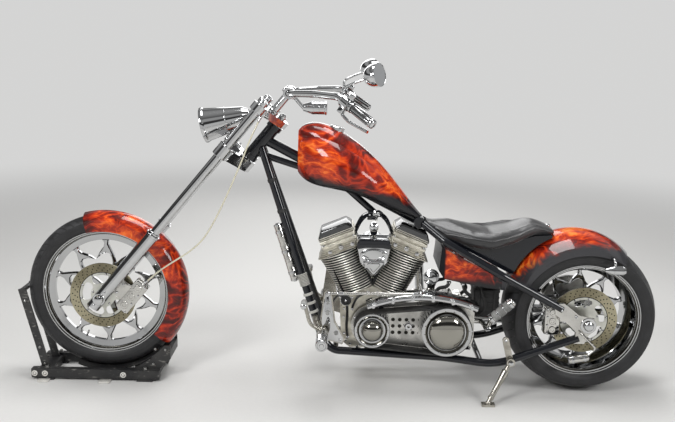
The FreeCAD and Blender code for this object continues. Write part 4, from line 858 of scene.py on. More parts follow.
class CHOPPER_OT_stage(bpy.types.Operator):
    """Adds the floor, the soft lamps, the sky and the camera"""
    bl_idname = "chopper.stage"
    bl_label = "Stage"

    def execute(self, context):
        scene = context.scene
        scene.view_settings.view_transform = "Standard"
        settings = scene.chopper_camera
        camera = placed("camera", bpy.data.cameras.new("camera"))
        camera.data.lens = settings.lens
        camera.data.sensor_width = 36
        camera.data.clip_end = 200
        camera.matrix_world = (
            Matrix.Translation(settings.place) @ spun(-settings.heading)
            @ spun(math.pi / 2 - settings.down, "X") @ spun(settings.roll))
        scene.camera = camera

        floor = Finish("floor", Specular_IOR_Level=0.2)
        x, y, _ = floor.axes()
        away = ((x * x + y * y) ** 0.5).ramped(2.4, 7.5)
        speck = floor.noise(60, 3)
        floor.set(
            Base_Color=floor.blend(speck, (0.66, 0.655, 0.64), (0.7, 0.695, 0.68)), Roughness=0.55 + 0.1 * speck)
        floor.bump(floor.noise(300, 2), 0.0004, 0.1)
        glow = floor.node("Emission", inputs={"Color": BACKDROP, "Strength": 1.0})
        mixed = floor.node("MixShader", inputs={0: away, 1: floor.shader.outputs[0], 2: glow.outputs[0]})
        floor.feed(floor.output.inputs["Surface"], mixed.outputs[0])
        shape = bmesh.new()
        bmesh.ops.create_grid(shape, x_segments=2, y_segments=2, size=60)
        mesh = meshed("floor", shape)
        mesh.transform(up(-0.0005))
        mesh.materials.append(floor.material)
        ground = placed("floor", mesh)

        for name, place, aim, size, power in (
                ("key", (-2.6, -3.4, 3.6), (0, 0, 0.5), 1.5, 125),
                ("side", (3.4, -2.6, 2.6), (0.3, 0, 0.5), 1.3, 70),
                ("top", (0.2, 0.6, 4.2), (0, 0, 0.4), 2.0, 105),
                ("rear", (0.0, 4.2, 2.4), (0, 0, 0.6), 2.6, 50)):
            lamp = bpy.data.lights.new(name, "AREA")
            lamp.shape = "SQUARE"
            lamp.size = size
            lamp.energy = power
            placed(name, lamp).matrix_world = at(place, Vector(place) - Vector(aim))
        world = bpy.data.worlds.new("studio")
        scene.world = world
        world.use_nodes = True
        sky = Nodes(world.node_tree)
        split = sky.node("SeparateXYZ", inputs={0: sky.node("TexCoord").outputs["Generated"]})
        levels = ((0.1, 0.66), (0.16, 0.05), (0.38, 0.05), (0.48, 0.42), (0.66, 0.42), (0.76, 0.12), (1.0, 0.4))
        stops = [(0.0, BACKDROP)] + [(position, (level, level, level)) for position, level in levels]
        ramp = sky.node("ValToRGB", {"stops": stops}, {0: split.outputs[2]})
        light = sky.node("Background", inputs={0: ramp.outputs[0]})
        sky.node("OutputWorld", inputs={0: light.outputs[0]})
        return {"FINISHED"}


class CHOPPER_OT_finishes(bpy.types.Operator):
    """Makes the finishes and gives one to every node of the frame"""
    bl_idname = "chopper.finishes"
    bl_label = "Finishes"

    def execute(self, context):
        all_finishes(context.scene.chopper_colours)
        finish_nodes()
        return {"FINISHED"}


class CHOPPER_OT_brake_hose(bpy.types.Operator):
    """Hangs the front brake hose from the upper yoke to the caliper"""
    bl_idname = "chopper.brake_hose"
    bl_label = "Brake Hose"

    def execute(self, context):
        sizes = context.scene.chopper_sizes
        route = [
            (0.03, -0.118, 1.0666), (0.044, -0.138, 1.011), (0.062, -0.148, 0.95), (0.084, -0.153, 0.886),
            (0.108, -0.156, 0.808), (0.133, -0.158, 0.72), (0.153, -0.16, 0.643), (0.169, -0.16, 0.566),
            (0.176, -0.158, 0.5), (0.166, -0.152, 0.43), (0.146, -0.144, 0.362), (0.128, -0.132, 0.3),
            (0.115, -0.116, 0.24), (0.106, -0.092, 0.1674)]
        points = [FORK @ Vector(point) for point in route]
        curve = line_curve("brake_hose_line", points, sizes.hose_diameter / 2)
        curve.bevel_resolution = 4
        curve.materials.append(FINISHES["hose_braid"])
        hose = placed("brake_hose_line", curve)
        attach(hose, "fork")
        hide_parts("brake_hose")
        ends = bmesh.new()
        for first, second in ((0, 1), (-1, -2)):
            way = points[second] - points[first]
            place = at(points[first], way)
            add(ends, hex_bolt(0.0075, 0.01), place)
            add(ends, rod(0.0052, 0.026, 16, 0.0008), place)
        piece("hose_fittings", ends, "fork", "chrome")
        return {"FINISHED"}


class CHOPPER_OT_seat(bpy.types.Operator):
    """Fills the leather seat and sews its piping on"""
    bl_idname = "chopper.seat"
    bl_label = "Seat"

    def execute(self, context):
        sizes = context.scene.chopper_sizes
        shape = opened(frame["nodes"]["seat"].data)
        bmesh.ops.remove_doubles(shape, verts=shape.verts, dist=1e-5)
        seat = placed("seat_cover", meshed("seat_cover", shape))
        grid = seat.modifiers.new("Grid", "REMESH")
        grid.mode = "VOXEL"
        grid.voxel_size = sizes.seat_voxel
        self.apply(seat)
        self.relax(seat.data, 18, 0.001)
        self.fill(context, seat, sizes.seat_swell)
        self.relax(seat.data, 8, 0.0)
        smooth = seat.modifiers.new("Smooth", "SUBSURF")
        smooth.levels = smooth.render_levels = 1
        for face in seat.data.polygons:
            face.use_smooth = True
        seat.data.materials.clear()
        seat.data.materials.append(FINISHES["seat_leather"])
        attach(seat, "frame")
        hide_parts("seat")
        button_x = 0.93
        top = max(
            vert.co.z for vert in seat.data.vertices if abs(vert.co.x - button_x) < 0.006 and abs(vert.co.y) < 0.01)
        button = lathe([
            (0, 0.0055), (0.005, 0.005), (0.0095, 0.003), (0.0115, 0.0), (0.0115, -0.008), (0, -0.008)], 32)
        piece("seat_button", add(bmesh.new(), button, at((button_x, 0, top), (0.3, 0, 1))), "frame", "chrome")
        self.sew(seat, sizes.piping)
        return {"FINISHED"}

    def relax(self, mesh, times, inset):
        """Smooths a mesh's points and then sinks them along their normals."""
        shape = opened(mesh)
        for _ in range(times):
            bmesh.ops.smooth_vert(
                shape, verts=shape.verts, factor=0.5, use_axis_x=True, use_axis_y=True, use_axis_z=True)
        shape.normal_update()
        for vert in shape.verts:
            vert.co -= vert.normal * inset
        shape.to_mesh(mesh)
        shape.free()

    def apply(self, made):
        mesh = evaluated(made)
        made.modifiers.clear()
        made.data = mesh

    def fill(self, context, made, swell):
        """Cloth under pressure, with each point's movement capped."""
        before = [vert.co.copy() for vert in made.data.vertices]
        cloth = made.modifiers.new("Cloth", "CLOTH")
        cloth.settings.use_pressure = True
        cloth.settings.uniform_pressure_force = 4
        cloth.settings.effector_weights.gravity = 0
        cloth.point_cache.frame_end = 20
        for number in range(1, 21):
            context.scene.frame_set(number)
        self.apply(made)
        for start, vert in zip(before, made.data.vertices):
            step = vert.co - start
            if step.length > swell:
                vert.co = start + step * (swell / step.length)
        context.scene.frame_set(1)

    def sew(self, seat, radius):
        """Piping where the top panel meets the side walls, followed from the cover itself."""
        low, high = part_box("seat")
        count = 26
        rows = [[] for i in range(count)]
        for vert in seat.data.vertices:
            i = int((vert.co.x - low.x) / (high.x - low.x) * count)
            if 0 <= i < count and vert.co.y < 0:
                rows[i].append(vert.co.copy())
        points = []
        for row in rows[1:-1]:
            if row:
                widest = min(spot.y for spot in row)
                edge = [spot for spot in row if spot.y < widest * 0.985 and spot.y < widest + 0.004]
                top = max(edge, key=lambda spot: spot.z)
                points.append(Vector((top.x, top.y - 0.0004, top.z)))
        piece("seat_piping", on_both_sides(pipe(points, radius, 12, 4)), "frame", "seat_leather")


class CHOPPER_OT_barrels(bpy.types.Operator):
    """Replaces the two barrels with finned ones"""
    bl_idname = "chopper.barrels"
    bl_label = "Barrels"

    def execute(self, context):
        sizes = context.scene.chopper_sizes
        base, length = BARREL_FOOT, BARREL_LENGTH
        pitch = length / sizes.fin_count
        core, tip, half = sizes.core_radius, sizes.fin_radius, sizes.fin_thickness / 2
        profile = [(0, base), (core, base)]
        for i in range(sizes.fin_count):
            middle = base + pitch * (i + 0.5)
            profile += [
                (core, middle - half * 1.3), (tip - 0.0008, middle - half), (tip, middle - half * 0.5),
                (tip, middle + half * 0.5), (tip - 0.0008, middle + half), (core, middle + half * 1.3)]
        profile += [(core, base + length), (0, base + length)]
        whole = bmesh.new()
        for side in (-1, 1):
            barrel = lathe(profile, 64)
            for face in barrel.faces:
                if face.calc_center_median().xy.length > tip - 0.0014:
                    face.material_index = 1
            # the upper fins reach out towards the ends of the head
            for vert in barrel.verts:
                outward = (vert.co.x * side - 0.03) / 0.06
                if outward > 0 and vert.co.xy.length > core + 0.001:
                    vert.co.x += side * 0.026 * min(1.0, outward) * ((vert.co.z - base) / length) ** 1.5
            bmesh.ops.transform(barrel, matrix=leaning(side), verts=barrel.verts)
            cut = bmesh.ops.bisect_plane(
                barrel, geom=barrel.verts[:] + barrel.edges[:] + barrel.faces[:], dist=1e-6,
                plane_co=(CRANK.x + side * 0.001, 0, 0), plane_no=(-side, 0, 0), clear_outer=True)
            edges = [item for item in cut["geom_cut"] if isinstance(item, bmesh.types.BMEdge)]
            bmesh.ops.triangle_fill(barrel, use_beauty=True, edges=edges)
            add(whole, tidy(barrel))
        piece("finned_barrels", whole, "frame", "fin_aluminium", "fin_aluminium", "fin_edges", sharp=25,
              replaces=("cylinders",))
        studs = bmesh.new()
        for side in (-1, 1):
            for y in (-0.05916, 0.05916):
                for x in (-0.06496, 0.06496):
                    add(studs, rod(0.0075, BARREL_LENGTH, 16), leaning(side) @ shift(x, y, BARREL_FOOT))
        piece("barrel_studs", studs, "frame", "fin_aluminium")
        return {"FINISHED"}


class CHOPPER_OT_heads(bpy.types.Operator):
    """Builds the ribbed heads, the rocker covers and their bolts"""
    bl_idname = "chopper.heads"
    bl_label = "Heads"

    def execute(self, context):
        foot = 0.3486
        heads, covers, bolts = bmesh.new(), bmesh.new(), bmesh.new()
        for side in (-1, 1):
            lean = leaning(side)
            core = [(-0.062, foot), (0.072, foot), (0.078, foot + 0.022), (0.072, foot + 0.076),
                    (-0.072, foot + 0.076), (-0.072, foot + 0.022)]
            add(heads, slab([(x * side, z) for x, z in core], 0.14, 0.003), lean @ upright(0.07))
            for i in range(4):
                rib = rounded_block((0.186 - 0.006 * i, 0.158, 0.0036), 0.018, 0.0009)
                add(heads, rib, lean @ shift(side * (0.021 - 0.0045 * i), 0, foot + 0.0025 + 0.0085 * i))
            for z in (0.0405, 0.048, 0.061, 0.0685, 0.079, 0.0865):
                add(heads, rounded_block((0.1635, 0.159, 0.0034), 0.012, 0.0009), lean @ up(foot + z))
            for low, high in ((0.036, 0.052), (0.057, 0.073)):
                add(heads, slab(
                    [(-0.081, foot + low), (0.081, foot + low), (0.081, foot + high), (-0.081, foot + high)],
                    0.156, 0.0045, 3), lean @ upright(0.078))
            add(covers, slab(
                [(-0.08, foot + 0.075), (0.08, foot + 0.075), (0.08, foot + 0.09), (0.06, foot + 0.1165),
                 (-0.06, foot + 0.1165), (-0.08, foot + 0.09)], 0.154, 0.011, 4), lean @ upright(0.077))
            for x in (-0.07, 0.07):
                for sign, way in SIDES:
                    add(bolts, cap_nut(0.0052, 0.007), lean @ at((x, sign * 0.0785, foot + 0.0545), way))
            for x in (-0.052, 0.052):
                add(bolts, rod(0.009, 0.03, 20, 0.002), lean @ at((x, -0.06, foot + 0.02), LEFT))
                add(bolts, hex_bolt(0.0065, 0.004), lean @ at((x, -0.09, foot + 0.02), LEFT))
            plug = lean @ at((0.0, -0.074, foot + 0.024), LEFT)
            add(bolts, rod(0.011, 0.012, 6, 0.001), plug)
            add(bolts, rod(0.0065, 0.032, 16, 0.001), plug)
        piece("ribbed_heads", heads, "frame", "fin_aluminium", "head_aluminium", replaces=("rocker_boxes",))
        piece("rocker_covers", covers, "frame", "rocker_grey", sharp=50)
        piece("head_bolts", bolts, "frame", "chrome")
        return {"FINISHED"}


class CHOPPER_OT_v_shield(bpy.types.Operator):
    """Builds the shield in the V, the intake's knob and cover, the pushrod tubes and the top mount"""
    bl_idname = "chopper.v_shield"
    bl_label = "V Shield"

    def execute(self, context):
        middle, height, face = CRANK.x, CRANK.z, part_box("v_cover")[0].y
        outline = [
            (-0.066, 0.392), (0.066, 0.392), (0.077, 0.368), (0.06, 0.286), (0.008, 0.227), (-0.008, 0.227),
            (-0.06, 0.286), (-0.077, 0.368)]
        place = shift(middle, 0, height)
        shield = bmesh.new()
        add(shield, slab([(x * 0.985, z) for x, z in outline], 0.03, 0.009, 4), place @ upright(face + 0.033))
        add(shield, rod(0.014, 0.05, 24), at((middle, face + 0.08, height + 0.334), LEFT))
        add(shield, lathe([
            (0, -0.001), (0.03, -0.001), (0.036, 0.003), (0.041, 0.006), (0.046, 0.004), (0.048, -0.002), (0, -0.004)],
            48), at((middle, face + 0.003, height + 0.322), LEFT) @ Matrix.Diagonal((1.25, 0.62, 1, 1)))
        for side in (-1, 1):
            for z in (0.298, 0.312):
                add(shield, rounded_block((0.03, 0.005, 0.008), 0.002, 0.0015),
                    place @ shift(side * 0.036, face + 0.001, z) @ spun(side * -0.5, "Y"))
        stone = slab([
            (-0.05, 0.286), (-0.04, 0.297), (0.04, 0.297), (0.05, 0.286), (0.006, 0.234), (-0.006, 0.234)],
            0.016, 0.006, 1)
        add(shield, stone, place @ upright(face + 0.006))
        add(shield, slab([
            (-0.03, 0.283), (-0.024, 0.289), (0.024, 0.289), (0.03, 0.283), (0.003, 0.25), (-0.003, 0.25)],
            0.006, 0.0028, 1), place @ upright(face - 0.0095))
        piece("v_shield", shield, "frame", "chrome", sharp=24, replaces=("v_cover",))
        band_shape = slab([
            (-0.07, 0.347), (-0.075, 0.366), (-0.065, 0.391), (0.065, 0.391), (0.075, 0.366), (0.07, 0.347),
            (0.035, 0.354), (-0.035, 0.354)], 0.013, 0.006, 3)
        piece("shield_band", add(bmesh.new(), band_shape, place @ upright(face + 0.007)), "frame", "frame_black")
        self.fit_mount(middle, height)
        knob = add(bmesh.new(), lathe([
            (0, 0.008), (0.01, 0.007), (0.015, 0.003), (0.0195, 0.0), (0.0205, -0.004), (0.0205, -0.012),
            (0.019, -0.014), (0, -0.014)], 32), at((middle, -0.054, height + 0.428), LEFT))
        piece("intake_knob", knob, "frame", "chrome")
        cleaner = bmesh.new()
        centre = (middle, 0.146, height + 0.304)
        add(cleaner, lathe([
            (0, 0.01), (0.022, 0.009), (0.038, 0.006), (0.045, 0.001), (0.05, 0.001), (0.054, 0.004),
            (0.06, 0.003), (0.0635, -0.002), (0.0635, -0.004), (0, -0.004)], 56), at(centre, RIGHT))
        add(cleaner, ring_of(lambda: cap_nut(0.006, 0.008), 3, 0.0475, 0.5),
            at((middle, 0.147, height + 0.304), RIGHT))
        piece("cleaner_cover", cleaner, "frame", "chrome")
        rods = bmesh.new()
        for side in (-1, 1):
            for offset in (-0.016, 0.022):
                start = CRANK + Vector((side * (0.03 + offset), 0.0885, 0.06))
                end = leaning(side) @ Vector((-side * 0.03 + offset * 1.2, 0.0865, 0.352))
                way = end - start
                add(rods, rod(0.0075, way.length, 20), at(start, way))
                add(rods, rod(0.0115, 0.03, 20, 0.0015), at(start, way))
                add(rods, rod(0.0105, 0.026, 20, 0.0015), at(end - way.normalized() * 0.026, way))
        piece("pushrod_tubes", rods, "frame", "chrome")
        return {"FINISHED"}

    def fit_mount(self, middle, height):
        """The bracket between the spine's lower tube and the heads, with its hoses and bolt."""
        dark, bright = bmesh.new(), bmesh.new()
        add(dark, slab([
            (middle - 0.03, height + 0.455), (middle + 0.006, height + 0.455), (middle + 0.04, height + 0.488),
            (middle + 0.022, height + 0.5), (middle - 0.026, height + 0.497)], 0.012, 0.003, 2), upright(-0.014))
        for side in (-1, 1):
            top = Vector((middle, 0, height + 0.472))
            foot = leaning(side) @ Vector((-side * 0.074, 0, 0.392))
            for y, sag in ((-0.05, 0.03), (-0.034, 0.012), (0.03, 0.02)):
                start = top + Vector((side * 0.006, y * 0.4, 0.008))
                end = foot + Vector((side * 0.004, y, 0.004))
                add(dark, pipe([
                    start, start + Vector((side * 0.02, y * 0.3, 0.004 - sag * 0.2)),
                    (start + end) / 2 + Vector((side * 0.012, 0, sag)), end + Vector((-side * 0.01, 0, 0.016)), end],
                    0.0065, 12))
        add(dark, rod(0.016, 0.05, 28, 0.003), at((middle, 0.005, height + 0.405), LEFT))
        for z in (0.428, 0.44):
            add(dark, ring(0.0125, 0.0028, 28, 8), shift(middle, -0.03, height + z))
        add(bright, lathe([
            (0, 0.012), (0.006, 0.0115), (0.01, 0.009), (0.0115, 0.004), (0.015, 0.002), (0.0155, -0.004),
            (0, -0.004)], 28), at((middle + 0.01, -0.024, height + 0.484), LEFT))
        add(bright, rod(0.0065, 0.03, 6, 0.001), shift(middle + 0.01, -0.018, height + 0.452))
        for side in (-1, 1):
            for y in (-0.05, -0.034):
                foot = leaning(side) @ Vector((-side * 0.079, y, 0.392))
                add(bright, band(0.006, 0.0092, 0.008, 0.001, 24), at(foot, (-side, 0, 0.4)))
        piece("top_mount", dark, "frame", "frame_black")
        piece("mount_fittings", bright, "frame", "chrome")


class CHOPPER_OT_primary(bpy.types.Operator):
    """Builds the turned pulleys, the belt guard with its tabs and the plate's fixings"""
    bl_idname = "chopper.primary"
    bl_label = "Primary Drive"

    def execute(self, context):
        low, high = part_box("primary_pulleys")
        back, depth = high.y, high.y - low.y
        pulleys, bolts = bmesh.new(), bmesh.new()
        for (centre, radius), share, teeth, count in zip(PULLEYS, (0.62, 0.74), (30, 44), (12, 16)):
            hub = radius * share
            dome = [
                (hub * math.sin(math.radians(9 * i)), depth - 0.017 + 0.03 * math.cos(math.radians(9 * i)))
                for i in range(11)]
            profile = [(0, dome[0][1])] + dome[1:] + [
                (hub + 0.003, depth - 0.019), (radius * 0.8, depth - 0.0205), (radius * 0.86, depth - 0.0165),
                (radius * 0.96, depth - 0.0125), (radius + 0.003, depth - 0.013), (radius + 0.005, depth - 0.015),
                (radius + 0.005, depth - 0.017), (radius, depth - 0.018), (radius, 0.0), (radius * 0.9, 0.0), (0, 0.0)]
            place = at((centre.x, back, centre.z), LEFT)
            add(pulleys, lathe(profile, 72), place)
            add(pulleys, ring_of(lambda: block((0.0052, 0.006, 0.058), 0.0012, 1), teeth, radius + 0.0022),
                place @ up(0.04))
            add(pulleys, ring(hub + 0.0035, 0.003, 72, 8), place @ up(depth - 0.0175))
            add(bolts, ring_of(lambda: dome_bolt(0.0036, 0.003), count, radius * 0.935, 0.1),
                place @ up(depth - 0.015))
        piece("pulleys", pulleys, "frame", "chrome", "pulley_chrome", sharp=28, replaces=("primary_pulleys",))
        piece("pulley_bolts", bolts, "frame", "drive_steel")
        guard_low, guard_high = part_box("belt_guard")
        depth, reach = guard_high.y - guard_low.y, 0.64
        centre = Vector(((guard_low.x + guard_high.x) / 2, 0, guard_high.z - 0.001 - reach))
        guard = bmesh.new()
        section = [
            (0.0, -0.002), (depth - 0.018, -0.001), (depth - 0.008, -0.004), (depth - 0.001, -0.012),
            (depth, -0.018), (depth - 0.002, -0.024), (depth - 0.007, -0.029), (depth - 0.014, -0.03),
            (depth - 0.018, -0.024), (depth - 0.022, -0.01), (0.0, -0.008)]
        verts = [guard.verts.new((0, -across, reach + rise)) for across, rise in section]
        edges = [guard.edges.new(pair) for pair in zip(verts, verts[1:] + verts[:1])]
        sweep = 2 * math.asin((guard_high.x - guard_low.x - 0.008) / 2 / reach)
        bmesh.ops.rotate(guard, verts=verts, cent=(0, 0, 0), matrix=Matrix.Rotation(-sweep / 2, 3, "Y"))
        bmesh.ops.spin(guard, geom=verts + edges, cent=(0, 0, 0), axis=(0, 1, 0), angle=sweep, steps=48)
        bmesh.ops.holes_fill(guard, edges=[edge for edge in guard.edges if edge.is_boundary], sides=0)
        holder = bmesh.new()
        add(holder, tidy(guard), shift(centre.x, guard_high.y, centre.z))
        for x, low in ((0.201, 0.366), (0.463, 0.393)):
            add(holder, rounded_block((0.024, 0.008, 0.052), 0.003, 0.0015),
                shift(x, guard_high.y - 0.004, low + 0.024))
        piece("guard_arc", holder, "frame", "chrome", sharp=40, replaces=("belt_guard",))
        tabs = bmesh.new()
        for i in range(6):
            turn = math.radians(-19.5 + 39.0 * i / 5)
            spot = centre + Vector((math.sin(turn), 0, math.cos(turn))) * (reach - 0.015)
            tab = at((spot.x, guard_low.y + 0.0005, spot.z), LEFT) @ spun(turn)
            add(tabs, rounded_block((0.014, 0.03, 0.007), 0.004, 0.0015), tab)
            add(tabs, cap_nut(0.0048, 0.006), tab @ up(0.003))
        piece("guard_tabs", tabs, "frame", "chrome")
        face, fixings = PLATE_LOW.y, bmesh.new()
        for x, z in (
                (0.1, 0.19), (0.142, 0.176), (0.09, 0.24), (0.09, 0.32), (0.57, 0.2), (0.594, 0.3),
                (0.35, 0.186), (0.28, 0.184), (0.23, 0.182), (0.41, 0.182), (0.484, 0.168)):
            add(fixings, cap_nut(0.0058, 0.008), at((x, face, z), LEFT))
        between = at((0.324, face, 0.286), LEFT)
        add(fixings, ring_of(lambda: dome_bolt(0.0042, 0.004), 5, 0.02, 0.3), between)
        add(fixings, band(0.006, 0.015, 0.01), between)
        add(fixings, pipe([Vector((x, face - 0.001, z)) for x, z in (
            (0.096, 0.186), (0.142, 0.167), (0.23, 0.1725), (0.28, 0.1745), (0.35, 0.1765), (0.41, 0.1725),
            (0.484, 0.1585), (0.545, 0.172))], 0.0036, 12))
        piece("plate_fixings", fixings, "frame", "chrome")
        return {"FINISHED"}


class CHOPPER_OT_cases(bpy.types.Operator):
    """Adds seams, covers, bolts and fittings to the crankcase and the gearbox"""
    bl_idname = "chopper.cases"
    bl_label = "Engine Cases"

    def execute(self, context):
        trim, bolts = bmesh.new(), bmesh.new()
        corners = [(-0.133, -0.084), (-0.096, -0.114), (0.1, -0.114), (0.168, -0.06), (0.168, 0.092),
                   (0.1233, 0.1194), (0.0, 0.1705), (-0.1233, 0.1194), (-0.14, 0.06)]
        for first, second in zip(corners, corners[1:] + corners[:1]):
            for share in (0.2, 0.8):
                x = (first[0] + (second[0] - first[0]) * share) * 0.9
                z = (first[1] + (second[1] - first[1]) * share) * 0.9
                add(bolts, hex_bolt(0.0062, 0.006), at((CRANK.x + x, -0.078, CRANK.z + z), LEFT))
        seam = [(x * 1.018, z * 1.018) for x, z in corners]
        add(trim, slab(seam, 0.008, 0.002, 2), Matrix.Translation(CRANK) @ upright(0.004))
        cam = at((CRANK.x - 0.02, 0.1015, CRANK.z), RIGHT)
        add(trim, lathe([
            (0, 0.006), (0.02, 0.006), (0.024, 0.003), (0.06, 0.003), (0.066, 0.005), (0.08, 0.0045),
            (0.086, 0.001), (0.086, -0.002), (0, -0.002)], 56), cam)
        add(bolts, ring_of(lambda: cap_nut(0.0055, 0.007), 10, 0.073, 0.1), cam @ up(0.004))
        for side in (-1, 1):
            foot = leaning(side) @ up(0.1545)
            add(trim, lathe([
                (0.06, 0), (0.08, 0.0), (0.083, -0.003), (0.083, -0.01), (0.06, -0.01)], 48, True), foot)
        fittings = bmesh.new()
        spot = at((0.047, -0.078, 0.392), LEFT)
        add(fittings, lathe([
            (0, 0.016), (0.01, 0.016), (0.012, 0.012), (0.022, 0.012), (0.024, 0.009), (0.024, -0.001), (0, -0.001)],
            40), spot)
        for line, size in (
                (((0.052, -0.084, 0.372), (0.056, -0.092, 0.33), (0.05, -0.09, 0.27), (0.058, -0.084, 0.216)),
                 0.0058),
                (((0.047, -0.084, 0.4), (0.02, -0.1, 0.425), (-0.01, -0.11, 0.4), (-0.03, -0.12, 0.34)),
                 0.0042),
                (((0.075, -0.084, 0.35), (0.084, -0.096, 0.392), (0.11, -0.094, 0.42), (0.15, -0.086, 0.43)),
                 0.0048)):
            add(fittings, pipe([Vector(point) for point in line], size, 14))
        piece("case_fittings", fittings, "frame", "grip_rubber")
        add(bolts, ring(0.0235, 0.0018, 40, 8), spot @ up(0.0105))
        add(bolts, cap_nut(0.007, 0.008), spot @ up(0.0155))
        for x, z, size in (
                (0.052, 0.372, 0.0082), (0.058, 0.222, 0.0082), (0.076, 0.352, 0.007), (0.146, 0.43, 0.007)):
            add(bolts, rod(size, 0.012, 6, 0.001), at((x, -0.078, z), LEFT))
        piece("case_trim", trim, "frame", "cast_aluminium")
        for x in (0.366, 0.43, 0.5, 0.56, 0.6):
            for z in (0.186, 0.386):
                for side, way in SIDES:
                    add(bolts, hex_bolt(0.006, 0.006), at((x, side * 0.086, z), way))
        piece("case_bolts", bolts, "frame", "chrome")
        top = bmesh.new()
        add(top, rounded_block((0.15, 0.12, 0.012), 0.02, 0.003), shift(0.45, 0.0, 0.404))
        add(top, lathe([(0, 0.016), (0.012, 0.015), (0.016, 0.008), (0.018, 0), (0, 0)], 28),
            shift(0.425, 0.03, 0.408))
        for x in (0.386, 0.514):
            for y in (-0.048, 0.048):
                add(top, cap_nut(0.0055, 0.008), shift(x, y, 0.409))
        piece("gearbox_lid", top, "frame", "polished_aluminium")
        return {"FINISHED"}


class CHOPPER_OT_headlight(bpy.types.Operator):
    """Fits the headlight's rim, reflector, lamp and bracket"""
    bl_idname = "chopper.headlight"
    bl_label = "Headlight"

    def execute(self, context):
        bell = shift(-0.384, 0, 1.187) @ spun(math.radians(-13.5), "Y") @ spun(-math.pi / 2, "Y")
        bright = bmesh.new()
        add(bright, lathe([
            (0.0695, 0.2065), (0.0705, 0.2085), (0.074, 0.209), (0.0772, 0.2065), (0.0778, 0.201),
            (0.0766, 0.196), (0.0735, 0.1955), (0.0735, 0.206)], 64, True), bell)
        add(bright, band(0.0565, 0.06, 0.0035), bell @ up(0.1))
        add(bright, lathe([(0, -0.008), (0.008, -0.007), (0.012, -0.001), (0.012, 0.001), (0, 0.001)], 24), bell)
        add(bright, rounded_block((0.07, 0.034, 0.014), 0.01, 0.003), FORK @ shift(0.01, 0, 0.8915))
        for s in (0.902, 0.914, 0.926):
            add(bright, band(0.0113, 0.0175, 0.008, 0.0015), FORK @ shift(-0.022, 0, s))
        for y in (-0.014, 0.014):
            add(bright, cap_nut(0.0055, 0.007), FORK @ shift(0.034, y, 0.898))
        piece("headlight_trim", bright, "fork", "chrome")
        bowl = bmesh.new()
        add(bowl, lathe([
            (0, 0.104), (0.026, 0.11), (0.046, 0.13), (0.0655, 0.1925), (0.0668, 0.1925), (0.0475, 0.129),
            (0.027, 0.1085), (0, 0.1025)], 56), bell)
        add(bowl, lathe([(0, 0.168), (0.009, 0.166), (0.013, 0.158), (0.013, 0.15), (0.006, 0.146), (0.006, 0.112),
                         (0, 0.112)], 28), bell)
        piece("headlight_bowl", bowl, "fork", "chrome", "reflector", sharp=60)
        return {"FINISHED"}


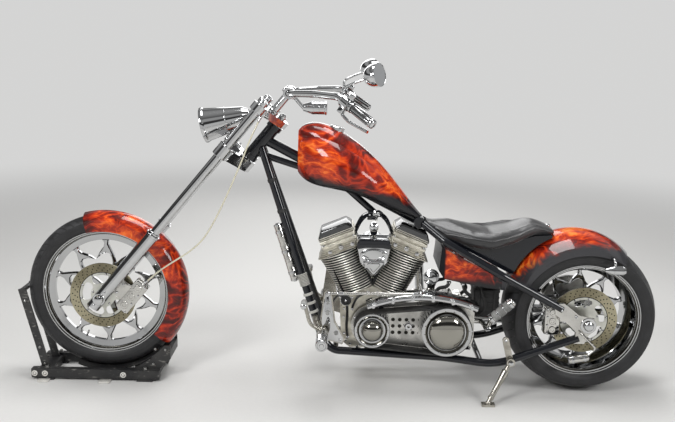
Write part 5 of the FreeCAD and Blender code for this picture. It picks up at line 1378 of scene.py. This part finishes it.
class CHOPPER_OT_bars(bpy.types.Operator):
    """Trims the yokes, the risers, the grips, the mirrors and the gauge"""
    bl_idname = "chopper.bars"
    bl_label = "Bars"

    def execute(self, context):
        trim, left, dark = bmesh.new(), bmesh.new(), bmesh.new()
        ahead, riser, clamp = 0.056, -0.052, 1.2113
        bar = [Vector(point) for point in (
            (ahead, 0, clamp), (ahead, -0.092, clamp), (0.141, -0.17, 1.2883), (0.218, -0.278, 1.3493),
            (0.378, -0.402, 1.3613))]
        along = (bar[4] - bar[3]).normalized()
        grip = FORK @ at(bar[4], along)
        # the yokes' bolts, pads and rings, the legs' caps, and the risers' clamps and nuts
        for s, size in ((1.086, 0.036), (0.85, 0.056)):
            for share in (-0.28, 0.28):
                add(left, hex_bolt(0.0055, 0.006), FORK @ at((0.0335, -LEG_SIDE, s + size * share), (1, 0, 0)))
            add(left, rounded_block((0.012, 0.02, size * 0.82), 0.003, 0.0015),
                FORK @ shift(0.0315, -LEG_SIDE, s))
            for edge in (-0.5, 0.5):
                add(left, ring(0.0318, 0.0016, 40, 8), FORK @ shift(0, -LEG_SIDE, s + edge * (size - 0.003)))
        add(left, lathe([
            (0, 0.01), (0.01, 0.009), (0.0125, 0.004), (0.018, 0.004), (0.0205, 0.001), (0.0212, -0.003),
            (0.0212, -0.01), (0, -0.01)], 36), FORK @ shift(0, -LEG_SIDE, 1.122))
        add(left, lathe([
            (0.0155, -0.019), (0.0235, -0.019), (0.025, -0.017), (0.025, 0.017), (0.0235, 0.019), (0.0155, 0.019)],
            40, True), FORK @ at((ahead, riser, clamp), LEFT))
        for n in (0.035, 0.077):
            add(left, rounded_block((0.018, 0.036, 0.02), 0.004, 0.002), FORK @ shift(n, riser, clamp))
            add(left, rod(0.0045, 0.004, 16, 0.0008), FORK @ shift(n, riser, clamp + 0.0097))
        add(left, lathe([
            (0.0178, 0.0), (0.0215, 0.0), (0.0225, 0.0015), (0.0225, 0.01), (0.0195, 0.014), (0.0178, 0.014)],
            36, True), FORK @ shift(ahead, riser, 1.104))
        # the grip: bright ribs over rubber, with turned ends
        for i in range(9):
            rib = block((0.0058, 0.0036, 0.098), 0.0012, 2)
            add(left, rib, grip @ spun(math.tau * i / 9) @ shift(0, 0.0182, -0.06))
        add(left, lathe([
            (0, 0.0105), (0.008, 0.01), (0.0135, 0.0075), (0.0168, 0.0045), (0.0188, 0.0005), (0.019, -0.01),
            (0.0182, -0.0125), (0, -0.0125)], 36), grip)
        add(left, band(0.0155, 0.0225, 0.01, 0.002), grip @ up(-0.126))
        # the perch: clamp bolts, pivot, bands and buttons
        down = self.in_fork((-0.5, 0, -1))
        down = (down - along * down.dot(along)).normalized()
        perch = bar[4] - along * 0.156
        side = along.cross(down)
        for share in (-0.012, 0.012):
            add(left, cap_nut(0.0045, 0.006), FORK @ at(perch + along * share + side * 0.0235, side))
        add(left, rounded_block((0.03, 0.026, 0.034), 0.006, 0.003), FORK @ at(perch + down * 0.03, down))
        add(left, cap_nut(0.006, 0.006), FORK @ at(perch + down * 0.04 + side * 0.012, side))
        add(left, band(0.02, 0.0252, 0.005, 0.001), FORK @ at(perch - along * 0.022, along))
        add(left, band(0.02, 0.0252, 0.005, 0.001), FORK @ at(perch + along * 0.017, along))
        for share in (-0.01, 0.002, 0.013):
            add(dark, lathe([(0, 0.004), (0.003, 0.0035), (0.004, 0.001), (0.004, -0.003), (0, -0.003)], 20),
                FORK @ at(perch + along * share - side * 0.0235, -side))
        # reservoir over the perch
        add(left, rounded_block((0.03, 0.062, 0.02), 0.008, 0.003),
            FORK @ at(perch - down * 0.034 + along * 0.002, -down))
        add(trim, on_both_sides(left))
        # stem nut
        add(trim, rod(0.019, 0.012, 6, 0.002), FORK @ shift(0.1, 0, 1.104))
        add(trim, lathe([(0, 0.01), (0.006, 0.009), (0.012, 0.005), (0.0135, 0), (0, 0)], 28),
            FORK @ shift(0.1, 0, 1.115))
        # gauge: bezel, rings, face, marks and needle
        middle = FORK @ bar[0]
        nose = middle + Vector((0.058, 0, -0.064))
        rear = at(nose + Vector((0.098, 0, 0)), (1, 0, 0))
        add(trim, lathe([
            (0.0245, 0.0005), (0.0255, 0.0035), (0.0285, 0.0045), (0.031, 0.0025), (0.0312, -0.004),
            (0.0292, -0.006), (0.0245, -0.001)], 48, True), rear)
        for h in (0.03, 0.052):
            add(trim, ring(0.0292, 0.0014, 48, 8), at(nose + Vector((0.098 - h, 0, 0)), (1, 0, 0)))
        piece("bar_trim", trim, "fork", "chrome")
        piece("bar_buttons", on_both_sides(dark), "fork", "grip_rubber")
        face = lathe([(0, 0.001), (0.0246, 0.001), (0.0246, 0.0002), (0, 0.0002)], 48)
        piece("gauge_face", add(bmesh.new(), face, rear), "fork", "chrome", "dial_face")
        marks = bmesh.new()
        for i in range(13):
            turn = math.radians(-132 + 22 * i)
            mark = block((0.001 if i % 2 else 0.0015, 0.0042, 0.0005), 0.0001, 1)
            add(marks, mark, rear @ spun(turn) @ shift(0, 0.02, 0.0013))
        add(marks, block((0.0013, 0.021, 0.0006), 0.0002, 1),
            rear @ spun(math.radians(-118)) @ shift(0, 0.0075, 0.0018))
        add(marks, lathe([(0, 0.0028), (0.0024, 0.0025), (0.003, 0.001), (0, 0.001)], 20), rear)
        piece("gauge_marks", marks, "fork", "grip_rubber", "void_black")
        # mirrors: an oval glass and its rim
        head = perch + self.in_fork((0.117, -0.023, 0.112))
        glass = lathe([(0, 0.0012), (0.0725, 0.0012), (0.074, 0.0), (0.074, -0.0006), (0, -0.0006)], 56)
        rim = lathe([
            (0.0728, 0.0008), (0.0738, 0.003), (0.0752, 0.0022), (0.0756, -0.001), (0.0728, -0.001)], 56, True)
        turned = (
            FORK @ Matrix.Translation(head) @ spun(-RAKE - math.radians(12), "Y")
            @ spun(math.radians(-20)) @ shift(0.0082, 0, 0)
            @ Matrix.Diagonal((1, 1, 0.62, 1)) @ spun(math.pi / 2, "Y"))
        for name, shape, finish in (("mirror_glass", glass, "mirror_glass"), ("mirror_rims", rim, "chrome")):
            piece(name, on_both_sides(add(bmesh.new(), shape, turned)), "fork", "chrome", finish)
        return {"FINISHED"}

    def in_fork(self, way):
        """A direction of the whole part as the fork's own axes see it."""
        return Matrix.Rotation(-RAKE, 3, "Y") @ Vector(way)


class CHOPPER_OT_calipers(bpy.types.Operator):
    """Replaces the brake calipers with rounded, bolted ones"""
    bl_idname = "chopper.calipers"
    bl_label = "Calipers"

    def execute(self, context):
        front, bolts = bmesh.new(), bmesh.new()
        for y in (-0.094, -0.0605):
            add(front, rounded_block((0.06, 0.156, 0.021), 0.014, 0.003),
                FORK @ at((0.098, y, 0.084), RIGHT) @ spun(math.pi))
        add(front, rounded_block((0.014, 0.052, 0.15), 0.004, 0.0025), FORK @ shift(0.1265, -0.0775, 0.084))
        add(front, rounded_block((0.048, 0.01, 0.078), 0.003, 0.002), FORK @ shift(0.049, -0.1045, 0.086))
        for s in (0.036, 0.084, 0.132):
            add(front, lathe([
                (0, 0.003), (0.007, 0.003), (0.008, 0.0045), (0.015, 0.0045), (0.0165, 0.003), (0.017, -0.003),
                (0, -0.003)], 36), FORK @ at((0.0995, -0.105, s), LEFT))
        for s in (0.012, 0.06, 0.108, 0.156):
            add(bolts, hex_bolt(0.005, 0.005), FORK @ at((0.12, -0.1045, s), LEFT))
        for s in (0.062, 0.11):
            add(bolts, cap_nut(0.0062, 0.008), FORK @ at((0.038, -0.1095, s), LEFT))
        piece("front_caliper_body", front, "fork", "polished_aluminium", replaces=("front_caliper",))
        piece("front_caliper_bolts", bolts, "fork", "chrome")
        rear, rear_bolts = bmesh.new(), bmesh.new()
        for y in (-0.136, -0.1015):
            add(rear, rounded_block((0.064, 0.124, 0.02), 0.014, 0.003), at((0.944, y, 0.335), RIGHT))
        add(rear, rounded_block((0.016, 0.054, 0.12), 0.005, 0.0025), shift(0.9185, -0.1195, 0.335))
        add(rear, rounded_block((0.054, 0.034, 0.034), 0.006, 0.003), shift(0.9925, -0.1615, 0.3625))
        for z in (0.297, 0.335, 0.373):
            add(rear, lathe([
                (0, 0.003), (0.006, 0.003), (0.007, 0.0045), (0.013, 0.0045), (0.0145, 0.003), (0.015, -0.003),
                (0, -0.003)], 36), at((0.944, -0.146, z), LEFT))
        for z in (0.28, 0.316, 0.354, 0.39):
            add(rear_bolts, hex_bolt(0.0048, 0.005), at((0.922, -0.1455, z), LEFT))
        piece("rear_caliper_body", rear, "frame", "polished_aluminium", replaces=("rear_caliper",))
        piece("rear_caliper_bolts", rear_bolts, "frame", "chrome")
        return {"FINISHED"}


class CHOPPER_OT_wheels(bpy.types.Operator):
    """Replaces the rims with bladed ones and adds the discs' bolts, the valves and the axle covers"""
    bl_idname = "chopper.wheels"
    bl_label = "Wheel Trim"

    def execute(self, context):
        for name, centre, disc_y in (("front", FRONT_AXLE, -0.0805), ("rear", REAR_AXLE, -0.1205)):
            self.build_rim(name)
            trim = bmesh.new()
            flange, half = radius_of(name + "_rim"), RIM_HALF[name]
            disc = at((centre.x, disc_y, centre.z), LEFT)
            add(trim, ring_of(lambda: dome_bolt(0.005, 0.0045), 10, 0.098, 0.15), disc)
            add(trim, ring_of(lambda: cap_nut(0.0055, 0.007), 5, 0.046 if name == "front" else 0.06, 0.3), disc)
            for side, way in SIDES:
                place = at((centre.x, side * (half - 0.0035), centre.z), way)
                add(trim, ring(flange - 0.0045, 0.0034, 120, 8), place)
            valve = at((0, -half + 0.016, flange - 0.034 - 0.014), (0, -0.35, -1))
            add(trim, rod(0.0042, 0.034, 16, 0.0008),
                Matrix.Translation(centre) @ spun(math.radians(205), "Y") @ valve)
            piece(name + "_wheel_trim", trim, name + "_wheel", "chrome_wheel")
        caps = bmesh.new()
        low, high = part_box("front_axle")
        for side, y in ((LEFT, low.y), (RIGHT, high.y)):
            add(caps, lathe([
                (0, 0.01), (0.009, 0.0095), (0.014, 0.007), (0.0185, 0.005), (0.02, 0.002), (0.0205, -0.001),
                (0, -0.001)], 36), at((FRONT_AXLE.x, y, FRONT_AXLE.z), side))
        for side, way in SIDES:
            y = side * (LEG_SIDE + 0.0295)
            for s in (-0.036, 0.04):
                add(caps, hex_bolt(0.006, 0.006), FORK @ at((0, y, s), way))
            add(caps, band(0.0195, 0.0265, 0.003, 0.001), FORK @ at((0, y, 0), way))
            add(caps, band(0.0295, 0.0318, 0.01, 0.001), FORK @ shift(0, side * LEG_SIDE, 0.366))
            add(caps, band(0.0207, 0.0262, 0.008, 0.0015), FORK @ shift(0, side * LEG_SIDE, 0.378))
        piece("front_axle_caps", caps, "fork", "chrome")
        rear = bmesh.new()
        low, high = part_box("rear_axle")
        for side, y in ((LEFT, low.y), (RIGHT, high.y)):
            add(rear, lathe([
                (0, 0.012), (0.01, 0.0115), (0.016, 0.009), (0.0195, 0.006), (0.021, 0.002), (0.0215, -0.001),
                (0, -0.001)], 36), at((REAR_AXLE.x, y, REAR_AXLE.z), side))
        plate_low, plate_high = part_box("axle_plates")
        for side, y in ((LEFT, plate_low.y), (RIGHT, plate_high.y)):
            for x, z in ((0.968, 0.4), (0.972, 0.302), (1.03, 0.374)):
                add(rear, cap_nut(0.007, 0.009), at((x, y, z), side))
            add(rear, band(0.024, 0.034, 0.0035, 0.0012), at((REAR_AXLE.x, y, REAR_AXLE.z), side))
        piece("rear_axle_caps", rear, "frame", "chrome")
        return {"FINISHED"}

    def build_rim(self, name):
        """A stepped rim, a grooved hub and five forked blades with a ridge down the middle."""
        centre, flange, half = AXLES[name], radius_of(name + "_rim"), RIM_HALF[name]
        hub, hub_half = HUBS[name]
        seat, wall = flange - 0.014, 0.007
        well = seat - 0.026
        outside = [
            (flange - 0.001, half), (flange, half - 0.001), (flange, half - 0.0055), (seat, half - 0.006),
            (seat, half * 0.45), (well, half * 0.3)]
        inside = [
            (well - wall, half * 0.26), (seat - wall, half * 0.42), (seat - wall, half - 0.022),
            (seat - wall + 0.003, half - 0.0175), (seat - 0.001, half - 0.016), (seat + 0.001, half - 0.012),
            (seat + 0.001, half - 0.0085), (seat + 0.004, half - 0.007), (flange - 0.0065, half - 0.002),
            (flange - 0.005, half)]
        profile = outside + [(level, -y) for level, y in reversed(outside)]
        profile += [(level, -y) for level, y in reversed(inside)] + inside
        shape = bmesh.new()
        place = at(tuple(centre), LEFT)
        add(shape, lathe(profile, 144, closed=True), place)
        post = [(0.01256, hub_half), (hub - 0.003, hub_half), (hub, hub_half - 0.003), (hub, hub_half - 0.012),
                (hub - 0.004, hub_half - 0.016), (hub - 0.004, 0.026), (hub, 0.018)]
        add(shape, lathe(post + [(level, -y) for level, y in reversed(post)], 72, closed=True), place)
        reach, root = well - wall / 2, hub - 0.006
        outline = []
        for share, degrees in BLADE:
            distance, turn = root + (reach - root) * share, math.radians(degrees)
            outline.append((distance * math.cos(turn), distance * math.sin(turn)))
        for number in range(5):
            blade = ridged(outline, 0.015, 0.0042, 0.005)
            turned = Matrix.Translation(centre) @ spun(math.tau * number / 5, "Y")
            add(shape, blade, turned @ upright(0.0075))
        piece(name + "_wheel_rim", shape, name + "_wheel", "chrome_wheel", sharp=24, replaces=(name + "_rim",))


class CHOPPER_OT_pegs(bpy.types.Operator):
    """Dresses the forward controls and the passenger pegs"""
    bl_idname = "chopper.pegs"
    bl_label = "Pegs"

    def execute(self, context):
        bright, rubber = bmesh.new(), bmesh.new()
        peg = at((-0.05, -0.236, 0.284), LEFT)
        for i in range(4):
            add(bright, lathe([
                (0.0238, 0.0), (0.0262, 0.0012), (0.0262, 0.0085), (0.0238, 0.01)], 48, True),
                peg @ up(0.056 + i * 0.017))
        add(bright, lathe([
            (0, 0.0105), (0.008, 0.01), (0.01, 0.0065), (0.017, 0.006), (0.019, 0.0085), (0.0235, 0.0075),
            (0.0262, 0.0035), (0.0266, -0.006), (0.0238, -0.007), (0, -0.002)], 48), peg @ up(0.13))
        for i in range(10):
            add(rubber, block((0.004, 0.0035, 0.046), 0.001, 1),
                peg @ spun(math.tau * i / 10) @ shift(0, 0.0246, 0.028))
        for x, z in ((-0.031, 0.452), (-0.022, 0.33), (0.024, 0.254), (-0.042, 0.268)):
            add(bright, cap_nut(0.006, 0.008), at((x, -0.2145, z), LEFT))
        add(bright, lathe([(0, 0.004), (0.01, 0.004), (0.012, 0.002), (0.012, -0.001), (0, -0.001)], 32),
            at((-0.03, -0.209, 0.3), LEFT))
        plate = [
            (-0.0415, 0.46), (-0.029, 0.469), (-0.0175, 0.448), (-0.002, 0.333), (0.0385, 0.259),
            (0.0315, 0.2375), (-0.0125, 0.2505), (-0.05, 0.258), (-0.0575, 0.332)]
        add(bright, ridged(plate, 0.003, 0.0055, 0.0035), upright(-0.2088))
        for x, z, size in ((-0.03, 0.42, 0.007), (-0.03, 0.375, 0.009), (0.008, 0.285, 0.009)):
            spot = at((x, -0.2155, z), LEFT)
            add(rubber, lathe([(0, 0.0006), (size, 0.0004), (size, -0.003), (0, -0.003)], 28), spot)
            add(bright, ring(size, 0.0016, 32, 8), spot)
        toe = at((-0.128, -0.244, 0.432), LEFT)
        for i in range(5):
            add(rubber, band(0.0108, 0.0135, 0.007, 0.0015, 28), toe @ up(0.012 + i * 0.0115))
        add(bright, dome_bolt(0.012, 0.004), toe @ up(0.0735))
        rear = at((0.664, -0.208, 0.356), (0.116, -0.01, 0.11))
        rib = ((0.0196, 0.0), (0.0222, 0.001), (0.0222, 0.0042), (0.0196, 0.0054))
        ribs = [(radius, 0.02 + 0.0068 * i + rise) for i in range(12) for radius, rise in rib]
        add(rubber, lathe([(0.0188, 0.018)] + ribs + [(0.0188, 0.103)], 40, True), rear)
        for s, height in ((0.002, 0.014), (0.104, 0.014), (0.04, 0.006), (0.074, 0.006)):
            add(bright, band(0.0188, 0.0232, height, 0.002), rear @ up(s))
        add(bright, lathe([
            (0, 0.007), (0.008, 0.0065), (0.015, 0.004), (0.0185, 0.0005), (0.019, -0.002), (0, -0.002)], 36),
            rear @ up(0.1245))
        add(bright, rod(0.009, 0.044, 20, 0.002), at((0.655, -0.18, 0.304), (0.02, -1, 0.4)))
        piece("peg_trim", on_both_sides(bright), "frame", "chrome")
        piece("peg_rubbers", on_both_sides(rubber), "frame", "grip_rubber", "peg_rubber")
        joints = bmesh.new()
        for x, z in ((-0.026, 0.461), (0.362, 0.466)):
            add(joints, lathe([
                (0, 0.01), (0.006, 0.009), (0.01, 0.004), (0.011, 0.0), (0.0105, -0.006), (0, -0.006)], 28),
                at((x, -0.2145, z), LEFT))
        for x in (0.01, 0.33):
            add(joints, rod(0.0082, 0.026, 6, 0.001), at((x, -0.2153, 0.4616 + 0.0045 * x / 0.4), (1, 0, 0.012)))
        piece("shift_rod_ends", joints, "frame", "chrome")
        return {"FINISHED"}


class CHOPPER_OT_frame_trim(bpy.types.Operator):
    """Adds the tubes' clips and sleeves, the canister's bands, the signals' lenses and the stand's leg"""
    bl_idname = "chopper.frame_trim"
    bl_label = "Frame Trim"

    def execute(self, context):
        top, foot = FORK @ Vector((0.115, -0.018, 0.952)), Vector((-0.06, -0.12, 0.245))
        way = (top - foot).normalized()
        ahead = Vector((-way.z, 0, way.x)).normalized()
        bright, pale, dark = bmesh.new(), bmesh.new(), bmesh.new()
        can = at(foot + way * 0.262 + ahead * (0.0173 + 0.0185), way)
        for s in (0.03, 0.125, 0.215):
            add(bright, band(0.0186, 0.0206, 0.012, 0.001), can @ up(s))
        for s, turn in ((0.255, 0), (0.0, math.pi)):
            add(bright, lathe([
                (0, 0.007), (0.007, 0.0065), (0.01, 0.003), (0.0165, 0.002), (0.019, -0.001), (0.019, -0.006),
                (0, -0.006)], 36), can @ up(s) @ spun(turn, "X"))
        for s in (0.02, 0.06, 0.1):
            add(pale, band(0.0172, 0.0215, 0.012, 0.002), at(foot + way * (0.08 + s), way))
        for i in range(9):
            add(pale, band(0.0172, 0.0228, 0.0042, 0.0016), at(foot + way * (0.226 + i * 0.0062), way))
        for s in (0.3, 0.42, 0.5):
            add(bright, rounded_block((0.044, 0.01, 0.012), 0.003, 0.002),
                at(foot + way * s + ahead * 0.018, way) @ spun(0.2))
        for s in (0.56, 0.7):
            add(dark, band(0.0172, 0.0196, 0.016, 0.002), at(foot + way * s, way))
        piece("canister_bands", bright, "frame", "chrome")
        piece("tube_sleeves", pale, "frame", "polished_aluminium", "pale_rubber")
        piece("tube_clips", dark, "frame", "frame_black", "grip_rubber")
        small = bmesh.new()
        pivot = Vector((0.758, -0.221, 0.172))
        add(small, lathe([(0, 0.005), (0.005, 0.0045), (0.01, 0.002), (0.0112, -0.001), (0, -0.001)], 32),
            at((pivot.x, -0.237, pivot.z), LEFT))
        add(small, cap_nut(0.008, 0.009), at((0.7345, -0.2105, 0.2661), LEFT))
        tail = at((1.01, -0.208, 0.183), (80, 0, 15))
        for s in (0.01, 0.062):
            add(small, band(0.0162, 0.0182, 0.01, 0.001), tail @ up(s))
        for s, turn in ((0.081, 0), (0.0, math.pi)):
            add(small, lathe([(0, 0.006), (0.008, 0.005), (0.014, 0.002), (0.0162, -0.002), (0, -0.002)], 32),
                tail @ up(s) @ spun(turn, "X"))
        piece("stand_and_tail_trim", small, "frame", "chrome")
        lenses, rims = bmesh.new(), bmesh.new()
        for side in (-1, 1):
            centre = Vector((1.224, side * 0.188, 0.579))
            add(rims, ring(0.0198, 0.0016, 40, 8), at(centre - Vector((0.01, 0, 0)), (1, 0, 0)))
            add(rims, ring(0.0202, 0.0012, 40, 8), at(centre - Vector((0.05, 0, 0)), (1, 0, 0)))
            add(lenses, lathe([(0, 0.001), (0.01, 0.0005), (0.0145, -0.0008), (0.015, -0.003), (0, -0.003)], 32),
                at(centre, (1, 0, 0)))
        piece("signal_rims", rims, "frame", "chrome")
        piece("signal_lenses", lenses, "frame", "lens_glass", "red_lens")
        stand = bmesh.new()
        for i in range(4):
            add(stand, block((0.05, 0.0035, 0.0016), 0.0004, 1), shift(0.66, -0.295 + 0.008 * i, 0.0096))
        top, end = pivot + Vector((-0.006, 0, -0.012)), pivot + Vector((-0.098, -0.062, -0.161))
        reach = (end - top).length
        add(stand, lathe([
            (0.0102, 0.026), (0.015, 0.028), (0.0158, 0.036), (0.0142, 0.06), (0.0122, 0.095),
            (0.0118, reach - 0.034), (0.0132, reach - 0.028), (0.0132, reach - 0.02), (0.0102, reach - 0.018)],
            36, closed=True), at(top, end - top))
        add(stand, band(0.0108, 0.0148, 0.012, 0.002), at(pivot + Vector((-0.022, -0.01, -0.046)), (-98, -62, -149)))
        piece("stand_foot_ribs", stand, "side_stand", "polished_aluminium", "nickel")
        return {"FINISHED"}


class CHOPPER_OT_bodywork(bpy.types.Operator):
    """Adds the filler cap, the battery with its hoses and filter, and the front fender's screws"""
    bl_idname = "chopper.bodywork"
    bl_label = "Bodywork Trim"

    def execute(self, context):
        cap = at((-0.0043, 0, 1.142), (0.28, 0, 1))
        bright = bmesh.new()
        add(bright, lathe([
            (0, 0.0055), (0.01, 0.0052), (0.014, 0.0035), (0.022, 0.0035), (0.025, 0.005), (0.029, 0.004),
            (0.0312, 0.0015), (0.0314, -0.004), (0.0, -0.002)], 64), cap)
        for i in range(24):
            add(bright, block((0.0022, 0.0012, 0.006), 0.0004, 1),
                cap @ spun(math.tau * i / 24) @ shift(0, 0.0312, -0.001))
        piece("filler_cap", bright, "frame", "chrome")
        dark, bright = bmesh.new(), bmesh.new()
        add(dark, rounded_block((0.112, 0.116, 0.112), 0.01, 0.004), shift(0.67, 0, 0.376))
        add(dark, rounded_block((0.118, 0.122, 0.014), 0.01, 0.003), shift(0.67, 0, 0.436))
        for z in (0.34, 0.362, 0.384, 0.406):
            add(dark, rounded_block((0.116, 0.12, 0.006), 0.01, 0.002), shift(0.67, 0, z))
        for x in (0.636, 0.704):
            add(dark, rounded_block((0.012, 0.1265, 0.126), 0.003, 0.0015), shift(x, 0, 0.382))
        for side in (-1, 1):
            for line, size in (
                    (((0.5, 0.055, 0.48), (0.5, 0.06, 0.455), (0.455, 0.062, 0.45), (0.44, 0.045, 0.42),
                      (0.44, 0.04, 0.402)), 0.008),
                    (((0.56, 0.07, 0.478), (0.565, 0.078, 0.44), (0.6, 0.08, 0.42), (0.585, 0.06, 0.396),
                      (0.56, 0.05, 0.384)), 0.008),
                    (((0.64, 0.066, 0.47), (0.64, 0.084, 0.44), (0.665, 0.084, 0.38), (0.64, 0.08, 0.33),
                      (0.6, 0.06, 0.33)), 0.006)):
                add(dark, pipe([Vector((x, side * y, z)) for x, y, z in line], size, 14))
                x, y, z = line[0]
                add(bright, band(size, size + 0.0022, 0.008, 0.0008, 24), shift(x, side * y, z - 0.01))
        filter_at = at((0.43, -0.02, 0.492), (-0.25, -1, 0.12))
        add(bright, lathe([
            (0, 0.08), (0.01, 0.0795), (0.014, 0.077), (0.022, 0.0765), (0.028, 0.073), (0.0305, 0.066),
            (0.0305, 0.01), (0.028, 0.006), (0.024, 0.004), (0.024, -0.01), (0, -0.01)], 48), filter_at)
        for s in (0.016, 0.06):
            add(bright, ring(0.0308, 0.0018, 48, 8), filter_at @ up(s))
        add(dark, pipe([Vector(spot) for spot in (
            (0.43, -0.012, 0.492), (0.43, 0.02, 0.48), (0.424, 0.03, 0.44), (0.425, 0.03, 0.408))], 0.011, 16))
        piece("battery_and_hoses", dark, "frame", "grip_rubber")
        piece("battery_straps", bright, "frame", "chrome")
        fender = bmesh.new()
        for s in (0.292, 0.316):
            for side, way in SIDES:
                add(fender, dome_bolt(0.0062, 0.0045), FORK @ at((0, side * 0.0665, s), way))
        piece("fender_screws", fender, "fork", "chrome")
        return {"FINISHED"}


class CHOPPER_OT_chock(bpy.types.Operator):
    """Adds the chock's bolts, feet and pads"""
    bl_idname = "chopper.chock"
    bl_label = "Wheel Chock"

    def execute(self, context):
        front = FRONT_AXLE.x - 0.325
        bolts, pads, pale = bmesh.new(), bmesh.new(), bmesh.new()
        for side, way in SIDES:
            for x in (front + 0.065, front + 0.505):
                add(bolts, rod(0.0095, 0.003, 24, 0.0006), shift(x, side * 0.097, 0.05))
                add(bolts, hex_bolt(0.0085, 0.008), shift(x, side * 0.097, 0.053))
            for x in (front + 0.014, front + 0.06, front + 0.41):
                spot = at((x, side * 0.112, 0.029), way)
                add(pale, band(0.008, 0.0135, 0.004, 0.001), spot)
                add(pale, cap_nut(0.0065, 0.008), spot)
            post = shift(front + 0.04, side * 0.064, 0.014) @ spun(math.radians(-14), "Y")
            for height in (0.04, 0.12, 0.344):
                add(bolts, cap_nut(0.007, 0.008), post @ at((0.017, side * 0.0045, height), way))
            for x, z in ((0.215, 0.07), (0.27, 0.14), (0.225, 0.142)):
                add(bolts, cap_nut(0.0065, 0.008), at((FRONT_AXLE.x + x, side * 0.0805, z), way))
            for x in (front + 0.004, front + 0.566):
                add(pads, rounded_block((0.012, 0.032, 0.038), 0.003, 0.0025), shift(x, side * 0.097, 0.03))
            add(pads, lathe([(0, 0.002), (0.0085, 0.0015), (0.0115, -0.001), (0.0118, -0.008), (0, -0.008)], 28),
                at((front - 0.041, side * 0.068, 0.396), way))
            for x in (front + 0.058, front + 0.33):
                add(pale, rounded_block((0.052, 0.04, 0.006), 0.008, 0.002), shift(x, side * 0.126, 0.0031))
        piece("chock_bolts", bolts, "fork", "drive_steel")
        piece("chock_feet", pale, "fork", "chrome", "signal_lens")
        piece("chock_pads", pads, "fork", "chock_black")
        return {"FINISHED"}


class CHOPPER_PT_parts(bpy.types.Panel):
    """Lists every piece that can be made"""
    bl_idname = "CHOPPER_PT_parts"
    bl_label = "Chopper"
    bl_space_type = "VIEW_3D"
    bl_region_type = "UI"
    bl_category = "Chopper"

    def draw(self, context):
        scene = context.scene
        for step in STEPS:
            self.layout.operator(step.bl_idname)
        for group in (scene.chopper_sizes, scene.chopper_colours, scene.chopper_camera):
            box = self.layout.box()
            for name in group.__annotations__:
                box.prop(group, name)


GROUPS = (
    ("chopper_sizes", ChopperSizes), ("chopper_colours", ChopperColours), ("chopper_camera", ChopperCamera))
STEPS = (
    CHOPPER_OT_finishes, CHOPPER_OT_stage, CHOPPER_OT_brake_hose, CHOPPER_OT_seat, CHOPPER_OT_barrels,
    CHOPPER_OT_heads, CHOPPER_OT_v_shield, CHOPPER_OT_primary, CHOPPER_OT_cases, CHOPPER_OT_headlight,
    CHOPPER_OT_bars, CHOPPER_OT_calipers, CHOPPER_OT_wheels, CHOPPER_OT_pegs, CHOPPER_OT_frame_trim,
    CHOPPER_OT_bodywork, CHOPPER_OT_chock)


def register():
    for name, group in GROUPS:
        bpy.utils.register_class(group)
        setattr(bpy.types.Scene, name, PointerProperty(type=group))
    for step in STEPS:
        bpy.utils.register_class(step)
    bpy.utils.register_class(CHOPPER_PT_parts)


def unregister():
    bpy.utils.unregister_class(CHOPPER_PT_parts)
    for step in reversed(STEPS):
        bpy.utils.unregister_class(step)
    for name, group in reversed(GROUPS):
        delattr(bpy.types.Scene, name)
        bpy.utils.unregister_class(group)


def main():
    register()
    for step in STEPS:
        area, name = step.bl_idname.split(".")
        getattr(getattr(bpy.ops, area), name)()


if __name__ == "__main__":
    main()
